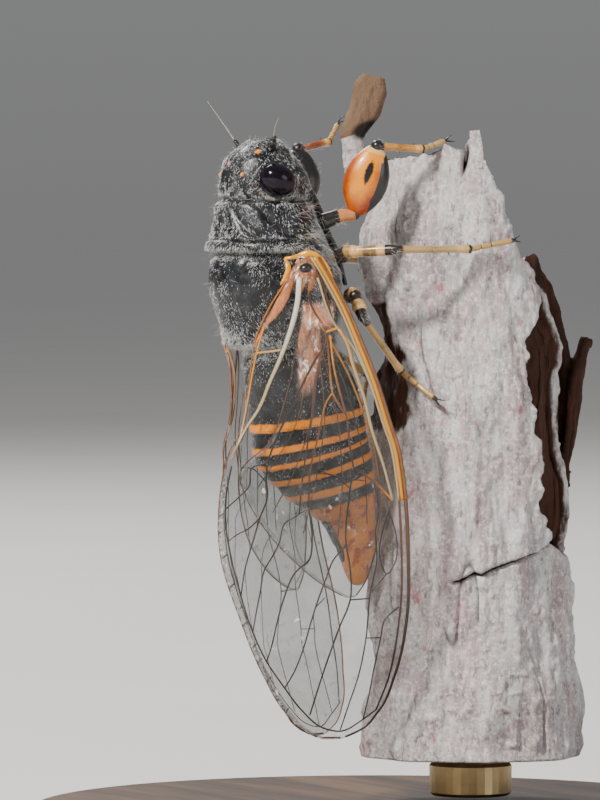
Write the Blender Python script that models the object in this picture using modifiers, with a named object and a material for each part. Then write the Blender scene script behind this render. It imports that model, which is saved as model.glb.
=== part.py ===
"""A small black cicada clinging head-up to a broken branch stub, on a plain display stand.

Units are metres in the scene and millimetres in the named sizes. Z is up and headward, the back of
the insect faces -Y, its right side is +X, and the branch stands behind its belly at +Y.
"""

import math

import bmesh
import bpy
import numpy as np
from mathutils import Matrix, Vector, noise

MM = 0.001
GAP = 0.3

# The side from which sizes are read: places are given as across that view, +X and height
VIEW_TURN = math.radians(60)
ACROSS = np.array([math.cos(VIEW_TURN), math.sin(VIEW_TURN)])
TOWARD = np.array([math.sin(VIEW_TURN), -math.cos(VIEW_TURN)])

# Stand
BASE_DIAMETER = 34.0
BASE_THICKNESS = 2.0
BASE_EDGE = 0.35
ROD_DIAMETER = 4.0
ROD_EDGE = 0.15

# Branch stub: its axis, then its left and right outline and its broken rim across the view
BRANCH_X = 0.3
BRANCH_Y = 4.9
BRANCH_FOOT = 4.2
BRANCH_DEPTH = 4.6
BRANCH_SIDES = 44
BRANCH_ROWS = 20
BRANCH_LEVELS = [4.2, 8.0, 12.0, 16.5, 21.5, 24.2, 26.3, 28.7, 31.0, 33.1]
BRANCH_LEFT = [-5.3, -4.9, -4.9, -4.9, -4.7, -4.3, -4.8, -5.3, -4.6, -3.8]
BRANCH_RIGHT = [5.2, 5.1, 4.5, 5.0, 4.9, 4.7, 4.1, 4.0, 3.9, 3.9]
DEPTH_LEVELS = [4.0, 20.0, 34.0]
DEPTH_SHARES = [1.03, 1.0, 0.94]
RIM_ACROSS = [-5.3, -2.7, -1.5, -0.7, 0.0, 0.35, 0.7, 1.65, 2.0, 2.4, 3.15, 4.2]
RIM_HEIGHT = [32.55, 32.55, 32.85, 33.55, 34.35, 34.3, 32.1, 31.0, 30.1, 28.7, 27.4, 26.2]
RIM_BACK_DROP = 1.3
RIM_RAGGED = 0.2
RIM_RINGS = [(0.82, 0.2), (0.55, 0.8), (0.25, 1.0)]
BARK_LUMPS = 0.42
BARK_RIBS = [(0.05, 9, 0.35), (0.04, 15, -0.2)]
HOLLOW_DIRECTION = -0.15
HOLLOW_WIDTH = 0.30
HOLLOW_DEPTH = 1.5
HOLLOW_LOW, HOLLOW_HIGH = 13.9, 28.4
KNOT_DIRECTION, KNOT_HEIGHT, KNOT_SPREAD, KNOT_SIZE = 0.12, 7.2, 0.9, 0.5
# Splinter at the rim and loose bark at the side: spine points, widths and thickness
SPLINTER_SPINE = [(6.35, -2.2, 29.4), (5.35, -2.5, 31.5), (4.05, -2.8, 32.8), (3.75, -2.8, 34.1),
                  (4.4, -2.8, 35.4), (4.75, -2.8, 36.5), (4.9, -2.8, 37.1)]
SPLINTER_WIDTHS = [1.7, 1.5, 1.3, 1.3, 1.75, 1.8, 1.2]
SPLINTER_THICKNESS = 0.95
FLAKE_SPINE = [(14.0, 1.2, 17.0), (14.5, 1.2, 20.0), (14.6, 1.2, 22.4), (15.2, 1.2, 24.4)]
FLAKE_WIDTHS = [1.6, 1.5, 1.3, 0.7]
FLAKE_THICKNESS = 0.7
# Back wall of the hollow side, between the branch and the loose bark
WALL_SPINE = [(12.9, 0.3, 14.6), (13.4, 0.45, 17.5), (13.6, 0.5, 21.0), (13.5, 0.5, 24.0), (12.9, 0.3, 26.8),
              (12.3, 0.1, 28.4)]
WALL_WIDTHS = [1.2, 1.8, 1.9, 1.8, 1.3, 0.8]
WALL_THICKNESS = 0.75

# Insect: the middle of its thorax, then its sections down the body as
# height, offset toward the belly, half width, half depth and forward tilt
BODY_Y = -6.0
HEAD_SECTIONS = [
    (34.00, -0.44, 0.35, 0.30, 0), (33.81, -0.49, 0.90, 0.76, 0), (33.29, -0.64, 1.42, 1.34, 0),
    (32.72, -0.66, 1.76, 1.80, 0), (31.86, -0.56, 1.92, 2.12, 0), (31.40, -0.56, 1.95, 2.12, 0),
    (31.22, -0.54, 1.85, 2.00, 0),
]
PRONOTUM_SECTIONS = [
    (30.92, -0.54, 2.12, 2.16, 0), (30.70, -0.52, 2.28, 2.28, 0), (29.96, -0.46, 2.52, 2.38, 0),
    (29.45, -0.43, 2.62, 2.50, 0), (29.20, -0.42, 2.70, 2.62, 0), (28.88, -0.41, 2.95, 2.78, 0),
    (28.68, -0.39, 2.92, 2.74, 0),
]
THORAX_SECTIONS = [
    (28.38, -0.18, 2.66, 2.66, 0), (28.00, -0.05, 2.86, 3.00, 0), (27.49, 0.04, 2.92, 3.18, 0),
    (26.68, 0.10, 2.92, 3.18, 0), (25.73, 0.25, 2.78, 3.00, 0), (25.11, 0.38, 2.50, 2.84, 1),
    (24.60, 0.50, 2.24, 2.70, 2), (24.22, 0.62, 2.05, 2.58, 2),
]
ABDOMEN_SECTIONS = [
    (23.90, 0.93, 1.90, 2.36, 3), (23.21, 1.20, 2.02, 2.62, 4), (21.60, 1.66, 2.26, 2.82, 7),
    (20.45, 1.90, 2.24, 2.90, 10), (19.53, 2.02, 2.22, 2.92, 13), (18.91, 2.26, 2.18, 2.84, 16),
    (18.17, 2.74, 2.05, 2.58, 17), (17.27, 3.22, 1.88, 2.20, 16), (16.01, 4.04, 1.36, 1.42, 12),
    (14.66, 4.53, 1.00, 1.06, 6), (13.23, 4.66, 0.60, 0.62, 2), (12.61, 4.66, 0.26, 0.26, 0),
]
BODY_SIDES = 28
TERGITE_STEP = 0.06
TERGITE_RINGS = 3
SCUTELLUM_HEIGHT = 0.22
SCUTELLUM_LEVEL = 24.9
SCUTELLUM_SPREAD = 0.6
SCUTELLUM_WIDTH = 0.35

# Head fittings, as across the view, +X and height
EYE_PLACE = (0.24, 1.86, 32.0)
EYE_RADII = (0.80, 0.88, 0.74)
EYE_TILT = math.radians(-18)
EYE_CLEARANCE = 0.27
ANTENNA_ROOTS = {"left": (-1.60, -1.55, 33.55), "right": (0.02, 1.55, 33.75)}
ANTENNA_TIPS = {"left": (-3.14, -2.85, 35.76), "right": (0.29, 2.85, 34.90)}
ANTENNA_RADII = [0.25, 0.21, 0.17, 0.12, 0.07]
ANTENNA_BOW = Vector((0.0, -0.05, 0.1))
ROSTRUM_LINE = [(0.0, 2.05, 31.5), (0.0, 2.48, 30.7), (0.0, 2.82, 29.8), (0.0, 3.52, 28.4), (0.0, 3.98, 27.0)]
ROSTRUM_RADII = [0.34, 0.33, 0.31, 0.27, 0.2]

# Wings: distance down from the hinge, then both edges across the view and their places along X
WING_HINGE = 28.68
FORE_STATIONS = [0.3, 1.4, 2.6, 4.2, 6.2, 8.4, 9.3, 10.4, 12.2, 14.3, 17.5, 20.2, 22.0, 22.9, 23.3]
FORE_HIND_EDGE = [1.2, 0.65, -0.1, -0.8, -1.1, -1.45, -1.95, -2.3, -2.55, -2.5, -1.55, -0.45, 0.6, 1.5, 2.3]
FORE_COSTA = [2.1, 2.75, 3.4, 4.1, 4.9, 5.6, 5.9, 6.1, 6.3, 6.4, 6.35, 5.8, 5.0, 4.1, 3.2]
FORE_INNER_X = [3.5, 3.45, 2.95, 1.80, 1.08, 0.75, 0.62, 0.48, 0.38, 0.36, 0.38, 0.45, 0.6, 0.8, 0.95]
FORE_OUTER_X = [3.8, 4.15, 4.4, 4.65, 4.85, 4.95, 4.95, 4.95, 4.9, 4.7, 3.9, 3.0, 2.2, 1.7, 1.3]
HIND_STATIONS = [3.1, 4.2, 5.4, 7.2, 9.0, 10.4, 11.6, 13.2, 14.8, 15.9, 16.6]
HIND_HIND_EDGE = [1.45, 1.0, 0.7, 0.45, 0.1, -0.9, -0.9, 0.2, 1.6, 2.7, 3.6]
HIND_COSTA = [2.1, 2.9, 3.6, 4.4, 4.95, 5.25, 5.35, 5.3, 5.0, 4.6, 4.1]
LEFT_TUCK_LEVELS = [0.3, 1.4, 2.6, 4.2, 5.4, 7.2, 8.4, 10.4, 23.3]
LEFT_TUCK = [0.0, 0.1, 0.25, 0.08, 0.25, 0.12, 0.14, 0.5, 0.6]
WING_CAMBER = 1.32
CAMBER_START, CAMBER_END = 2.6, 19.0
MEMBRANE = 0.5
HIND_MEMBRANE = 0.38
WING_LAYER = 0.95
VEIN_RIDGE = 0.16
EDGE_RIDGE = 0.06
HIND_VEIN_RIDGE = 0.05
WING_ROWS = 36
HIND_ROWS = 24
TIP_CROWDING = 0.55
# Each vein is its place across the wing, from hind edge 0 to costa 1, at these shares of the length
VEIN_SHARES = [0.0, 0.1, 0.2, 0.35, 0.55, 0.8, 1.0]
FORE_VEINS = [
    [0.18, 0.24, 0.22, 0.12, 0.05, 0.05, 0.06],
    [0.40, 0.46, 0.42, 0.33, 0.14, 0.12, 0.14],
    [0.50, 0.55, 0.54, 0.46, 0.33, 0.24, 0.26],
    [0.58, 0.62, 0.62, 0.57, 0.47, 0.39, 0.40],
    [0.66, 0.70, 0.70, 0.67, 0.61, 0.55, 0.54],
    [0.74, 0.78, 0.79, 0.77, 0.74, 0.71, 0.68],
    [0.84, 0.87, 0.88, 0.88, 0.87, 0.85, 0.82],
]
HIND_VEINS = [
    [0.15, 0.16, 0.17, 0.18, 0.18, 0.16, 0.15],
    [0.35, 0.36, 0.36, 0.36, 0.36, 0.36, 0.36],
    [0.58, 0.58, 0.58, 0.58, 0.58, 0.58, 0.58],
    [0.80, 0.80, 0.80, 0.80, 0.80, 0.80, 0.80],
]

# Legs: joints as across the view, +X and height, or as turn and height on the bark
LIMB_SIDES = 8
LIMB_SHARES = [0.0, 0.05, 0.18, 0.4, 0.6, 0.82, 0.95, 1.0]
LIMB_END = 0.6
LEG_RADIUS = 0.27
TOE_RADIUS = 0.2
COXA_RADIUS = 0.42
FORE_FEMUR_RADII = (1.1, 0.62)
TARSUS_BOW = 0.22
JOINT_TRIM = {"fore": 0.1, "mid": 0.0, "hind": 0.16}
FORE_RIGHT = {"root": (2.35, 1.45, 30.0), "hip": (3.9, 2.15, 30.35), "knee": (4.95, 2.8, 33.6),
              "ankle": (7.08, 2.9, 33.4), "toe": (8.4, 2.85, 33.95)}
FORE_LEFT = {"root": (0.95, -1.45, 30.0), "hip": (1.2, -2.1, 30.5), "knee": (1.2, -2.8, 33.5),
             "ankle": (2.7, -3.55, 33.75), "toe": (3.2, -4.0, 34.9)}
MID_RIGHT = {"root": (3.2, 2.1, 28.4), "hip": (3.85, 2.9, 28.6), "knee": (5.7, 4.3, 28.7)}
MID_LEFT = {"root": (1.15, -2.1, 28.2), "hip": (1.1, -2.9, 28.3), "knee": (1.5, -4.3, 28.3)}
HIND_RIGHT = {"root": (3.75, 1.8, 26.5), "hip": (3.9, 2.4, 26.5), "knee": (4.25, 3.5, 25.5)}
HIND_LEFT = {"root": (2.05, -1.8, 26.3), "hip": (1.7, -2.4, 26.3), "knee": (0.75, -3.5, 25.3)}
MID_RIGHT_GRIP = ((1.50, 28.7), (1.02, 29.2))
MID_LEFT_GRIP = ((-2.52, 28.1), (-2.08, 28.5))
HIND_RIGHT_GRIP = ((2.36, 22.9), (1.88, 21.4))
HIND_LEFT_GRIP = ((2.92, 22.7), (-2.90, 21.0))

BLACK, GLOSS_BLACK, EYE = (0.03, 0.03, 0.03), (0.02, 0.02, 0.022), (0.02, 0.012, 0.02)
AMBER, STRAW, BROWN = (0.75, 0.33, 0.05), (0.6, 0.42, 0.16), (0.12, 0.06, 0.03)
MEMBRANE_COLOUR, BARK, DARK_WOOD = (0.75, 0.68, 0.5), (0.62, 0.60, 0.57), (0.15, 0.11, 0.08)


def clear_scene():
    for obj in list(bpy.data.objects):
        bpy.data.objects.remove(obj, do_unlink=True)


def material(name, colour, roughness):
    made = bpy.data.materials.new(name)
    made.use_nodes = True
    shader = made.node_tree.nodes["Principled BSDF"]
    shader.inputs["Base Color"].default_value = (*colour, 1.0)
    shader.inputs["Roughness"].default_value = roughness
    return made


def finish(obj, colour, roughness=0.4):
    obj.data.materials.clear()
    obj.data.materials.append(material(obj.name, colour, roughness))
    obj.data.shade_smooth()
    return obj


def smooth(stations, values, at):
    """A curve through the values at the stations, without the corners of straight runs."""
    stations, values = np.asarray(stations, float), np.asarray(values, float)
    slopes = np.gradient(values, stations)
    at = np.clip(at, stations[0], stations[-1])
    i = np.clip(np.searchsorted(stations, at, side="right") - 1, 0, len(stations) - 2)
    step = stations[i + 1] - stations[i]
    t = (at - stations[i]) / step
    return (
        (2 * t**3 - 3 * t**2 + 1) * values[i]
        + (t**3 - 2 * t**2 + t) * step * slopes[i]
        + (3 * t**2 - 2 * t**3) * values[i + 1]
        + (t**3 - t**2) * step * slopes[i + 1]
    )


def seen(place):
    """The point at this distance across the view, this X and this height."""
    across, x, height = place
    return Vector((x, BODY_Y + (across - ACROSS[0] * x) / ACROSS[1], height))


def mesh_object(name, points, faces):
    """A closed mesh from points in millimetres, with its faces turned outward."""
    mesh = bpy.data.meshes.new(name)
    mesh.from_pydata([tuple(Vector(point) * MM) for point in points], [], faces)
    form = bmesh.new()
    form.from_mesh(mesh)
    bmesh.ops.recalc_face_normals(form, faces=form.faces)
    form.to_mesh(mesh)
    form.free()
    obj = bpy.data.objects.new(name, mesh)
    bpy.context.scene.collection.objects.link(obj)
    return obj


def loft(name, rings):
    """Skins a list of equal rings and closes both ends with a fan."""
    sides = len(rings[0])
    points = [tuple(point) for ring in rings for point in ring]
    faces = []
    for r in range(len(rings) - 1):
        for k in range(sides):
            a, b = r * sides + k, r * sides + (k + 1) % sides
            faces.append((a, b, b + sides, a + sides))
    for r, ring in ((0, rings[0]), (len(rings) - 1, rings[-1])):
        middle = len(points)
        points.append(tuple(np.mean(ring, axis=0)))
        faces += [(r * sides + k, r * sides + (k + 1) % sides, middle) for k in range(sides)]
    return mesh_object(name, points, faces)


def sweep(name, spine, widths, depths, facing, sides=LIMB_SIDES):
    """An oval limb along the spine, its widths across the facing direction and its depths along it."""
    rings = []
    for k, point in enumerate(spine):
        along = (Vector(spine[min(k + 1, len(spine) - 1)]) - Vector(spine[max(k - 1, 0)])).normalized()
        across = along.cross(Vector(facing)).normalized()
        deep = across.cross(along).normalized()
        turns = [2 * math.pi * s / sides for s in range(sides)]
        rings.append([
            Vector(point) + across * (widths[k] * math.cos(t)) + deep * (depths[k] * math.sin(t)) for t in turns
        ])
    return loft(name, rings)


def apply_modifiers(obj):
    graph = bpy.context.evaluated_depsgraph_get()
    mesh = bpy.data.meshes.new_from_object(obj.evaluated_get(graph))
    obj.modifiers.clear()
    obj.data = mesh


def cut(obj, cutter):
    knife = obj.modifiers.new("cut", "BOOLEAN")
    knife.operation = "DIFFERENCE"
    knife.solver = "EXACT"
    knife.object = cutter
    apply_modifiers(obj)
    bpy.data.objects.remove(cutter, do_unlink=True)


def fuse(obj, pieces):
    """Joins closed pieces to the object in one union and keeps its largest closed surface."""
    group = bpy.data.collections.new(obj.name + "_pieces")
    bpy.context.scene.collection.children.link(group)
    for piece in pieces:
        group.objects.link(piece)
        bpy.context.scene.collection.objects.unlink(piece)
    union = obj.modifiers.new("fuse", "BOOLEAN")
    union.operation = "UNION"
    union.solver = "EXACT"
    union.operand_type = "COLLECTION"
    union.collection = group
    apply_modifiers(obj)
    for piece in pieces:
        bpy.data.objects.remove(piece, do_unlink=True)
    bpy.data.collections.remove(group)
    keep_largest(obj)


def keep_largest(obj):
    form = bmesh.new()
    form.from_mesh(obj.data)
    left, shells = set(form.verts), []
    while left:
        shell, front = set(), [left.pop()]
        while front:
            vert = front.pop()
            shell.add(vert)
            near = {edge.other_vert(vert) for edge in vert.link_edges} & left
            left -= near
            front += near
        shells.append(shell)
    shells.sort(key=len)
    for shell in shells[:-1]:
        bmesh.ops.delete(form, geom=list(shell), context="VERTS")
    form.to_mesh(obj.data)
    form.free()


def body_ring(section, swell=0.0):
    """One tilted oval across the body. The scutellum lifts the ring along the middle of the back."""
    height, offset, half_width, half_depth, tilt = section
    lean = math.radians(tilt)
    lift = SCUTELLUM_HEIGHT * math.exp(-(((height - SCUTELLUM_LEVEL) / SCUTELLUM_SPREAD) ** 2))
    ring = []
    for k in range(BODY_SIDES):
        turn = 2 * math.pi * k / BODY_SIDES
        across = (half_width + swell) * math.cos(turn)
        deep = (half_depth + swell) * math.sin(turn)
        if deep < 0:
            deep -= lift * math.exp(-((across / half_width / SCUTELLUM_WIDTH) ** 2))
        ring.append((across, BODY_Y + offset + deep * math.cos(lean), height + deep * math.sin(lean)))
    return ring


def refine(sections, parts):
    """More sections on a smooth curve through the given ones."""
    table = np.array(sections, float)
    at = np.linspace(0, len(table) - 1, (len(table) - 1) * parts + 1)
    order = np.arange(len(table))
    return np.stack([smooth(order, table[:, c], at) for c in range(table.shape[1])], axis=1)


def make_body():
    for name, sections, colour in (
        ("head", HEAD_SECTIONS, BLACK),
        ("pronotum", PRONOTUM_SECTIONS, BLACK),
        ("thorax", THORAX_SECTIONS, GLOSS_BLACK),
    ):
        finish(loft(name, [body_ring(row) for row in refine(sections, 2)]), colour, 0.4)
    rings = []
    for index, row in enumerate(refine(ABDOMEN_SECTIONS, TERGITE_RINGS)):
        rings.append(body_ring(row, TERGITE_STEP * (index % TERGITE_RINGS) / (TERGITE_RINGS - 1)))
    finish(loft("abdomen", rings), BLACK, 0.35)


def ball(name, centre, radii, tilt):
    form = bmesh.new()
    bmesh.ops.create_uvsphere(form, u_segments=20, v_segments=12, radius=MM)
    placed = (
        Matrix.Translation(Vector(centre) * MM)
        @ Matrix.Rotation(tilt, 4, "X")
        @ Matrix.Diagonal((*radii, 1.0))
    )
    bmesh.ops.transform(form, matrix=placed, verts=form.verts)
    mesh = bpy.data.meshes.new(name)
    form.to_mesh(mesh)
    form.free()
    obj = bpy.data.objects.new(name, mesh)
    bpy.context.scene.collection.objects.link(obj)
    return obj


def make_head_fittings():
    """Eyes in their sockets, antennae and the beak that lies along the belly."""
    head = bpy.data.objects["head"]
    for side, name in ((1, "eye_right"), (-1, "eye_left")):
        place = seen(EYE_PLACE)
        place.x *= side
        cut(head, ball("socket", place, [radius + EYE_CLEARANCE for radius in EYE_RADII], EYE_TILT))
        finish(ball(name, place, EYE_RADII, EYE_TILT), EYE, 0.08)
    finish(head, BLACK)
    for word in ("left", "right"):
        root, tip = seen(ANTENNA_ROOTS[word]), seen(ANTENNA_TIPS[word])
        start = root + (tip - root).normalized() * GAP
        shares = np.linspace(0, 1, len(ANTENNA_RADII))
        spine = [start.lerp(tip, t) + ANTENNA_BOW * 4 * t * (1 - t) for t in shares]
        finish(sweep("antenna_" + word, spine, ANTENNA_RADII, ANTENNA_RADII, (0, 0.2, 1)), BLACK)
    spine = [(x, BODY_Y + y, z) for x, y, z in ROSTRUM_LINE]
    finish(sweep("rostrum", spine, ROSTRUM_RADII, ROSTRUM_RADII, (0, 1, 0.2)), BROWN)


def branch_middle(height):
    middle = (smooth(BRANCH_LEVELS, BRANCH_LEFT, height) + smooth(BRANCH_LEVELS, BRANCH_RIGHT, height)) / 2
    return np.array([BRANCH_X, BRANCH_Y]) + middle * ACROSS


def branch_point(turn, height, proud=0.0):
    """A point on the bark: turn 0 lies away from the insect and a quarter turn faces the view."""
    half = (smooth(BRANCH_LEVELS, BRANCH_RIGHT, height) - smooth(BRANCH_LEVELS, BRANCH_LEFT, height)) / 2
    deep = BRANCH_DEPTH * smooth(DEPTH_LEVELS, DEPTH_SHARES, height)
    bark = BARK_LUMPS * noise.noise(Vector((2.2 * math.cos(turn), 2.2 * math.sin(turn), 0.22 * height)))
    bark += sum(size * math.sin(count * turn + climb * height) for size, count, climb in BARK_RIBS)
    away = (turn - HOLLOW_DIRECTION + math.pi) % (2 * math.pi) - math.pi
    open_low = 1 / (1 + math.exp(-3 * (height - HOLLOW_LOW)))
    open_high = 1 / (1 + math.exp(3 * (height - HOLLOW_HIGH)))
    hollow = HOLLOW_DEPTH * open_low * open_high * math.exp(-((away / HOLLOW_WIDTH) ** 2))
    off = (turn - KNOT_DIRECTION + math.pi) % (2 * math.pi) - math.pi
    knot = KNOT_SIZE * math.exp(-((off / 0.35) ** 2) - ((height - KNOT_HEIGHT) / KNOT_SPREAD) ** 2)
    extra = bark - hollow + knot + proud
    flat = branch_middle(height) + (half + extra) * math.cos(turn) * ACROSS + (deep + extra) * math.sin(turn) * TOWARD
    return np.array([flat[0], flat[1], height])


def rim_height(turn):
    """Where this line up the bark ends at the broken top, lower at the back."""
    point = branch_point(turn, BRANCH_LEVELS[-1])
    across = (point[:2] - np.array([BRANCH_X, BRANCH_Y])) @ ACROSS
    ragged = RIM_RAGGED * (math.sin(5 * turn + 1.0) + 0.8 * math.sin(11 * turn))
    back = RIM_BACK_DROP * max(0.0, -math.sin(turn))
    return float(np.interp(across, RIM_ACROSS, RIM_HEIGHT)) + ragged * (1 - 0.7 * max(0.0, math.sin(turn))) - back


def make_perch():
    turns = [2 * math.pi * k / BRANCH_SIDES for k in range(BRANCH_SIDES)]
    tops = [rim_height(turn) for turn in turns]
    rings = []
    for row in range(BRANCH_ROWS):
        share = row / (BRANCH_ROWS - 1)
        rings.append([branch_point(t, BRANCH_FOOT + share * (top - BRANCH_FOOT)) for t, top in zip(turns, tops)])
    rim, middle = rings[-1], np.mean(rings[-1], axis=0)
    for inward, drop in RIM_RINGS:
        rings.append([middle + (point - middle) * inward - np.array([0, 0, drop]) for point in rim])
    perch = loft("perch", rings)
    splinter = [seen(place) for place in SPLINTER_SPINE]
    flake = [seen(place) for place in FLAKE_SPINE]
    wall = [seen(place) for place in WALL_SPINE]
    fuse(perch, [
        sweep("splinter", splinter, np.array(SPLINTER_WIDTHS) / 2, [SPLINTER_THICKNESS / 2] * len(splinter),
              (*TOWARD, 0.0)),
        sweep("flake", flake, np.array(FLAKE_WIDTHS) / 2, [FLAKE_THICKNESS / 2] * len(flake), (*ACROSS, 0.0)),
        sweep("wall", wall, np.array(WALL_WIDTHS) / 2, [WALL_THICKNESS / 2] * len(wall), (*TOWARD, 0.0)),
    ])
    finish(perch, BARK, 0.85)


def wing_point(down, share, outline, side, proud):
    """A point of a wing plate: down from the hinge, share of the way to the costa, proud of its middle."""
    stations, hind, costa = outline
    across = smooth(stations, hind, down) * (1 - share) + smooth(stations, costa, down) * share

    def placed(at, level):
        level = min(max(level, FORE_STATIONS[0]), FORE_STATIONS[-1])
        low, high = smooth(FORE_STATIONS, FORE_HIND_EDGE, level), smooth(FORE_STATIONS, FORE_COSTA, level)
        u = (at - low) / (high - low)
        inner, outer = smooth(FORE_STATIONS, FORE_INNER_X, level), smooth(FORE_STATIONS, FORE_OUTER_X, level)
        x = inner + (outer - inner) * u
        rise = (1 - math.exp(-level / CAMBER_START)) * min(1.0, (WING_TIP - level) / (WING_TIP - CAMBER_END))
        bulge = WING_CAMBER * rise * 4 * u * (1 - u)
        y = (at - ACROSS[0] * x) / ACROSS[1]
        return Vector((x + bulge * TOWARD[0], y + bulge * TOWARD[1], WING_HINGE - level))

    here = placed(across, down)
    step = 0.05 if down < WING_TIP - 0.1 else -0.05
    normal = (placed(across + 0.05, down) - here).cross((placed(across, down + step) - here) * (step / 0.05))
    normal = normal.normalized() * (1 if normal.x > 0 else -1)
    point = here + normal * proud
    tuck = smooth(LEFT_TUCK_LEVELS, LEFT_TUCK, down) if side < 0 else 0.0
    return Vector((side * point.x, BODY_Y + point.y + tuck, point.z))


def make_wing(name, side, outline, veins, rows, membrane, ridge, layer):
    """A curved plate split alike on both faces. Its main veins are ridges along the grid's own lines."""
    stations = outline[0]
    even = np.linspace(0, 1, rows)
    shares = (1 - np.cos(even * math.pi)) / 2 * TIP_CROWDING + even * (1 - TIP_CROWDING)
    faces_of = {1: [], -1: []}
    for share in shares:
        down = stations[0] + share * (stations[-1] - stations[0])
        lines = [0.0, *(float(smooth(VEIN_SHARES, vein, share)) for vein in veins), 1.0]
        across = [lines[0]]
        lift = [EDGE_RIDGE]
        for before, line in zip(lines, lines[1:]):
            across += [(before + line) / 2, line]
            lift += [0.0, ridge]
        lift[-1] = EDGE_RIDGE
        for sign, layer_points in faces_of.items():
            layer_points += [
                wing_point(down, a, outline, side, sign * (membrane / 2 + h) - layer) for a, h in zip(across, lift)
            ]
    wide, back = len(across), len(faces_of[1])
    faces = []
    for r in range(rows - 1):
        for c in range(wide - 1):
            a, b, d, e = r * wide + c, r * wide + c + 1, (r + 1) * wide + c + 1, (r + 1) * wide + c
            faces += [(a, b, d), (a, d, e), (a + back, d + back, b + back), (a + back, e + back, d + back)]
    border = list(range(wide))
    border += [r * wide + wide - 1 for r in range(1, rows)]
    border += [(rows - 1) * wide + c for c in range(wide - 2, -1, -1)]
    border += [r * wide for r in range(rows - 2, 0, -1)]
    for a, b in zip(border, border[1:] + border[:1]):
        faces += [(a, a + back, b + back), (a, b + back, b)]
    finish(mesh_object(name, faces_of[1] + faces_of[-1], faces), MEMBRANE_COLOUR, 0.25)


def make_wings():
    fore = (FORE_STATIONS, FORE_HIND_EDGE, FORE_COSTA)
    hind = (HIND_STATIONS, HIND_HIND_EDGE, HIND_COSTA)
    for side, word in ((1, "right"), (-1, "left")):
        make_wing("forewing_" + word, side, fore, FORE_VEINS, WING_ROWS, MEMBRANE, VEIN_RIDGE, 0.0)
        make_wing("hindwing_" + word, side, hind, HIND_VEINS, HIND_ROWS, HIND_MEMBRANE, HIND_VEIN_RIDGE, WING_LAYER)


def limb(name, start, end, radii, flat=1.0, bow=Vector((0, 0, 0)), swollen=0.0):
    """One leg piece with rounded ends, bowed off its straight line, swollen in the middle or flattened."""
    spine, widths = [], []
    for t in LIMB_SHARES:
        arch = 4 * t * (1 - t)
        spine.append(start.lerp(end, t) + bow * arch)
        width = radii[0] + (radii[1] - radii[0]) * t + swollen * arch
        widths.append(width * (LIMB_END if t in (0.0, 1.0) else 1.0))
    return sweep(name, spine, widths, [width * flat for width in widths], (*TOWARD, 0.0))


def leg(name, joints, ankle, toe, colours, femur_radii, swollen=0.0, flat=1.0, bow=Vector((0, 0, 0))):
    """Coxa with femur, then tibia, then tarsus, each clear of the next at its joint."""
    root, hip, knee = seen(joints["root"]), seen(joints["hip"]), seen(joints["knee"])
    trim = GAP / 2 + JOINT_TRIM[name.split("_")[1]]

    def between(a, b, at_a, at_b):
        step = (b - a).normalized()
        return a + step * at_a, b - step * at_b

    start, end = between(hip, knee, 0.0, trim)
    femur = limb(name + "_femur", start, end, femur_radii, flat, swollen=swollen)
    fuse(femur, [limb("coxa", root, hip + (knee - hip) * 0.1, (COXA_RADIUS, LEG_RADIUS))])
    finish(femur, colours[0])
    start, end = between(knee, ankle, trim + LEG_RADIUS * 0.5, trim)
    finish(limb(name + "_tibia", start, end, (LEG_RADIUS, LEG_RADIUS)), colours[1])
    start, end = between(ankle, toe, trim + LEG_RADIUS * 0.5, 0.0)
    finish(limb(name + "_tarsus", start, end, (LEG_RADIUS * 0.9, TOE_RADIUS), bow=bow), colours[2])


def grip(places):
    return [Vector(branch_point(turn, height, GAP + LEG_RADIUS)) for turn, height in places]


def bark_bow(ankle, toe):
    """The way from the branch's middle out through the middle of the tarsus."""
    middle = (ankle + toe) / 2
    x, y = branch_middle(middle.z)
    return Vector((middle.x - x, middle.y - y, 0)).normalized() * TARSUS_BOW


def make_legs():
    width, depth = FORE_FEMUR_RADII
    for name, joints, swollen in (
        ("leg_fore_right", FORE_RIGHT, width - COXA_RADIUS),
        ("leg_fore_left", FORE_LEFT, width - COXA_RADIUS),
    ):
        leg(name, joints, seen(joints["ankle"]), seen(joints["toe"]), (AMBER, AMBER, STRAW),
            (COXA_RADIUS, COXA_RADIUS), swollen, depth / width)
    for name, joints, places in (
        ("leg_mid_right", MID_RIGHT, MID_RIGHT_GRIP),
        ("leg_mid_left", MID_LEFT, MID_LEFT_GRIP),
        ("leg_hind_right", HIND_RIGHT, HIND_RIGHT_GRIP),
        ("leg_hind_left", HIND_LEFT, HIND_LEFT_GRIP),
    ):
        ankle, toe = grip(places)
        leg(name, joints, ankle, toe, (STRAW, STRAW, STRAW), (LEG_RADIUS, LEG_RADIUS), bow=bark_bow(ankle, toe))


def disc(name, radius, low, high, edge, middle, sides):
    """A turned disc or rod, as a Screw of its half profile with the rim taken off."""
    profile = [(0, low), (radius - edge, low), (radius, low + edge), (radius, high - edge), (radius - edge, high),
               (0, high)]
    mesh = bpy.data.meshes.new(name)
    mesh.from_pydata([(r * MM, 0, z * MM) for r, z in profile], [(k, k + 1) for k in range(len(profile) - 1)], [])
    obj = bpy.data.objects.new(name, mesh)
    bpy.context.scene.collection.objects.link(obj)
    obj.location = (middle[0] * MM, middle[1] * MM, 0)
    turn = obj.modifiers.new("turn", "SCREW")
    turn.steps = turn.render_steps = sides
    turn.use_merge_vertices = True
    turn.merge_threshold = 0.00001
    turn.use_normal_calculate = True
    finish(obj, DARK_WOOD, 0.5)


def make_stand():
    disc("stand_base", BASE_DIAMETER / 2, 0.0, BASE_THICKNESS, BASE_EDGE, (0.0, 0.0), 64)
    disc("stand_rod", ROD_DIAMETER / 2, BASE_THICKNESS + GAP, BRANCH_FOOT - GAP, ROD_EDGE,
         branch_middle(BRANCH_FOOT), 32)


WING_TIP = FORE_STATIONS[-1]


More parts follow.
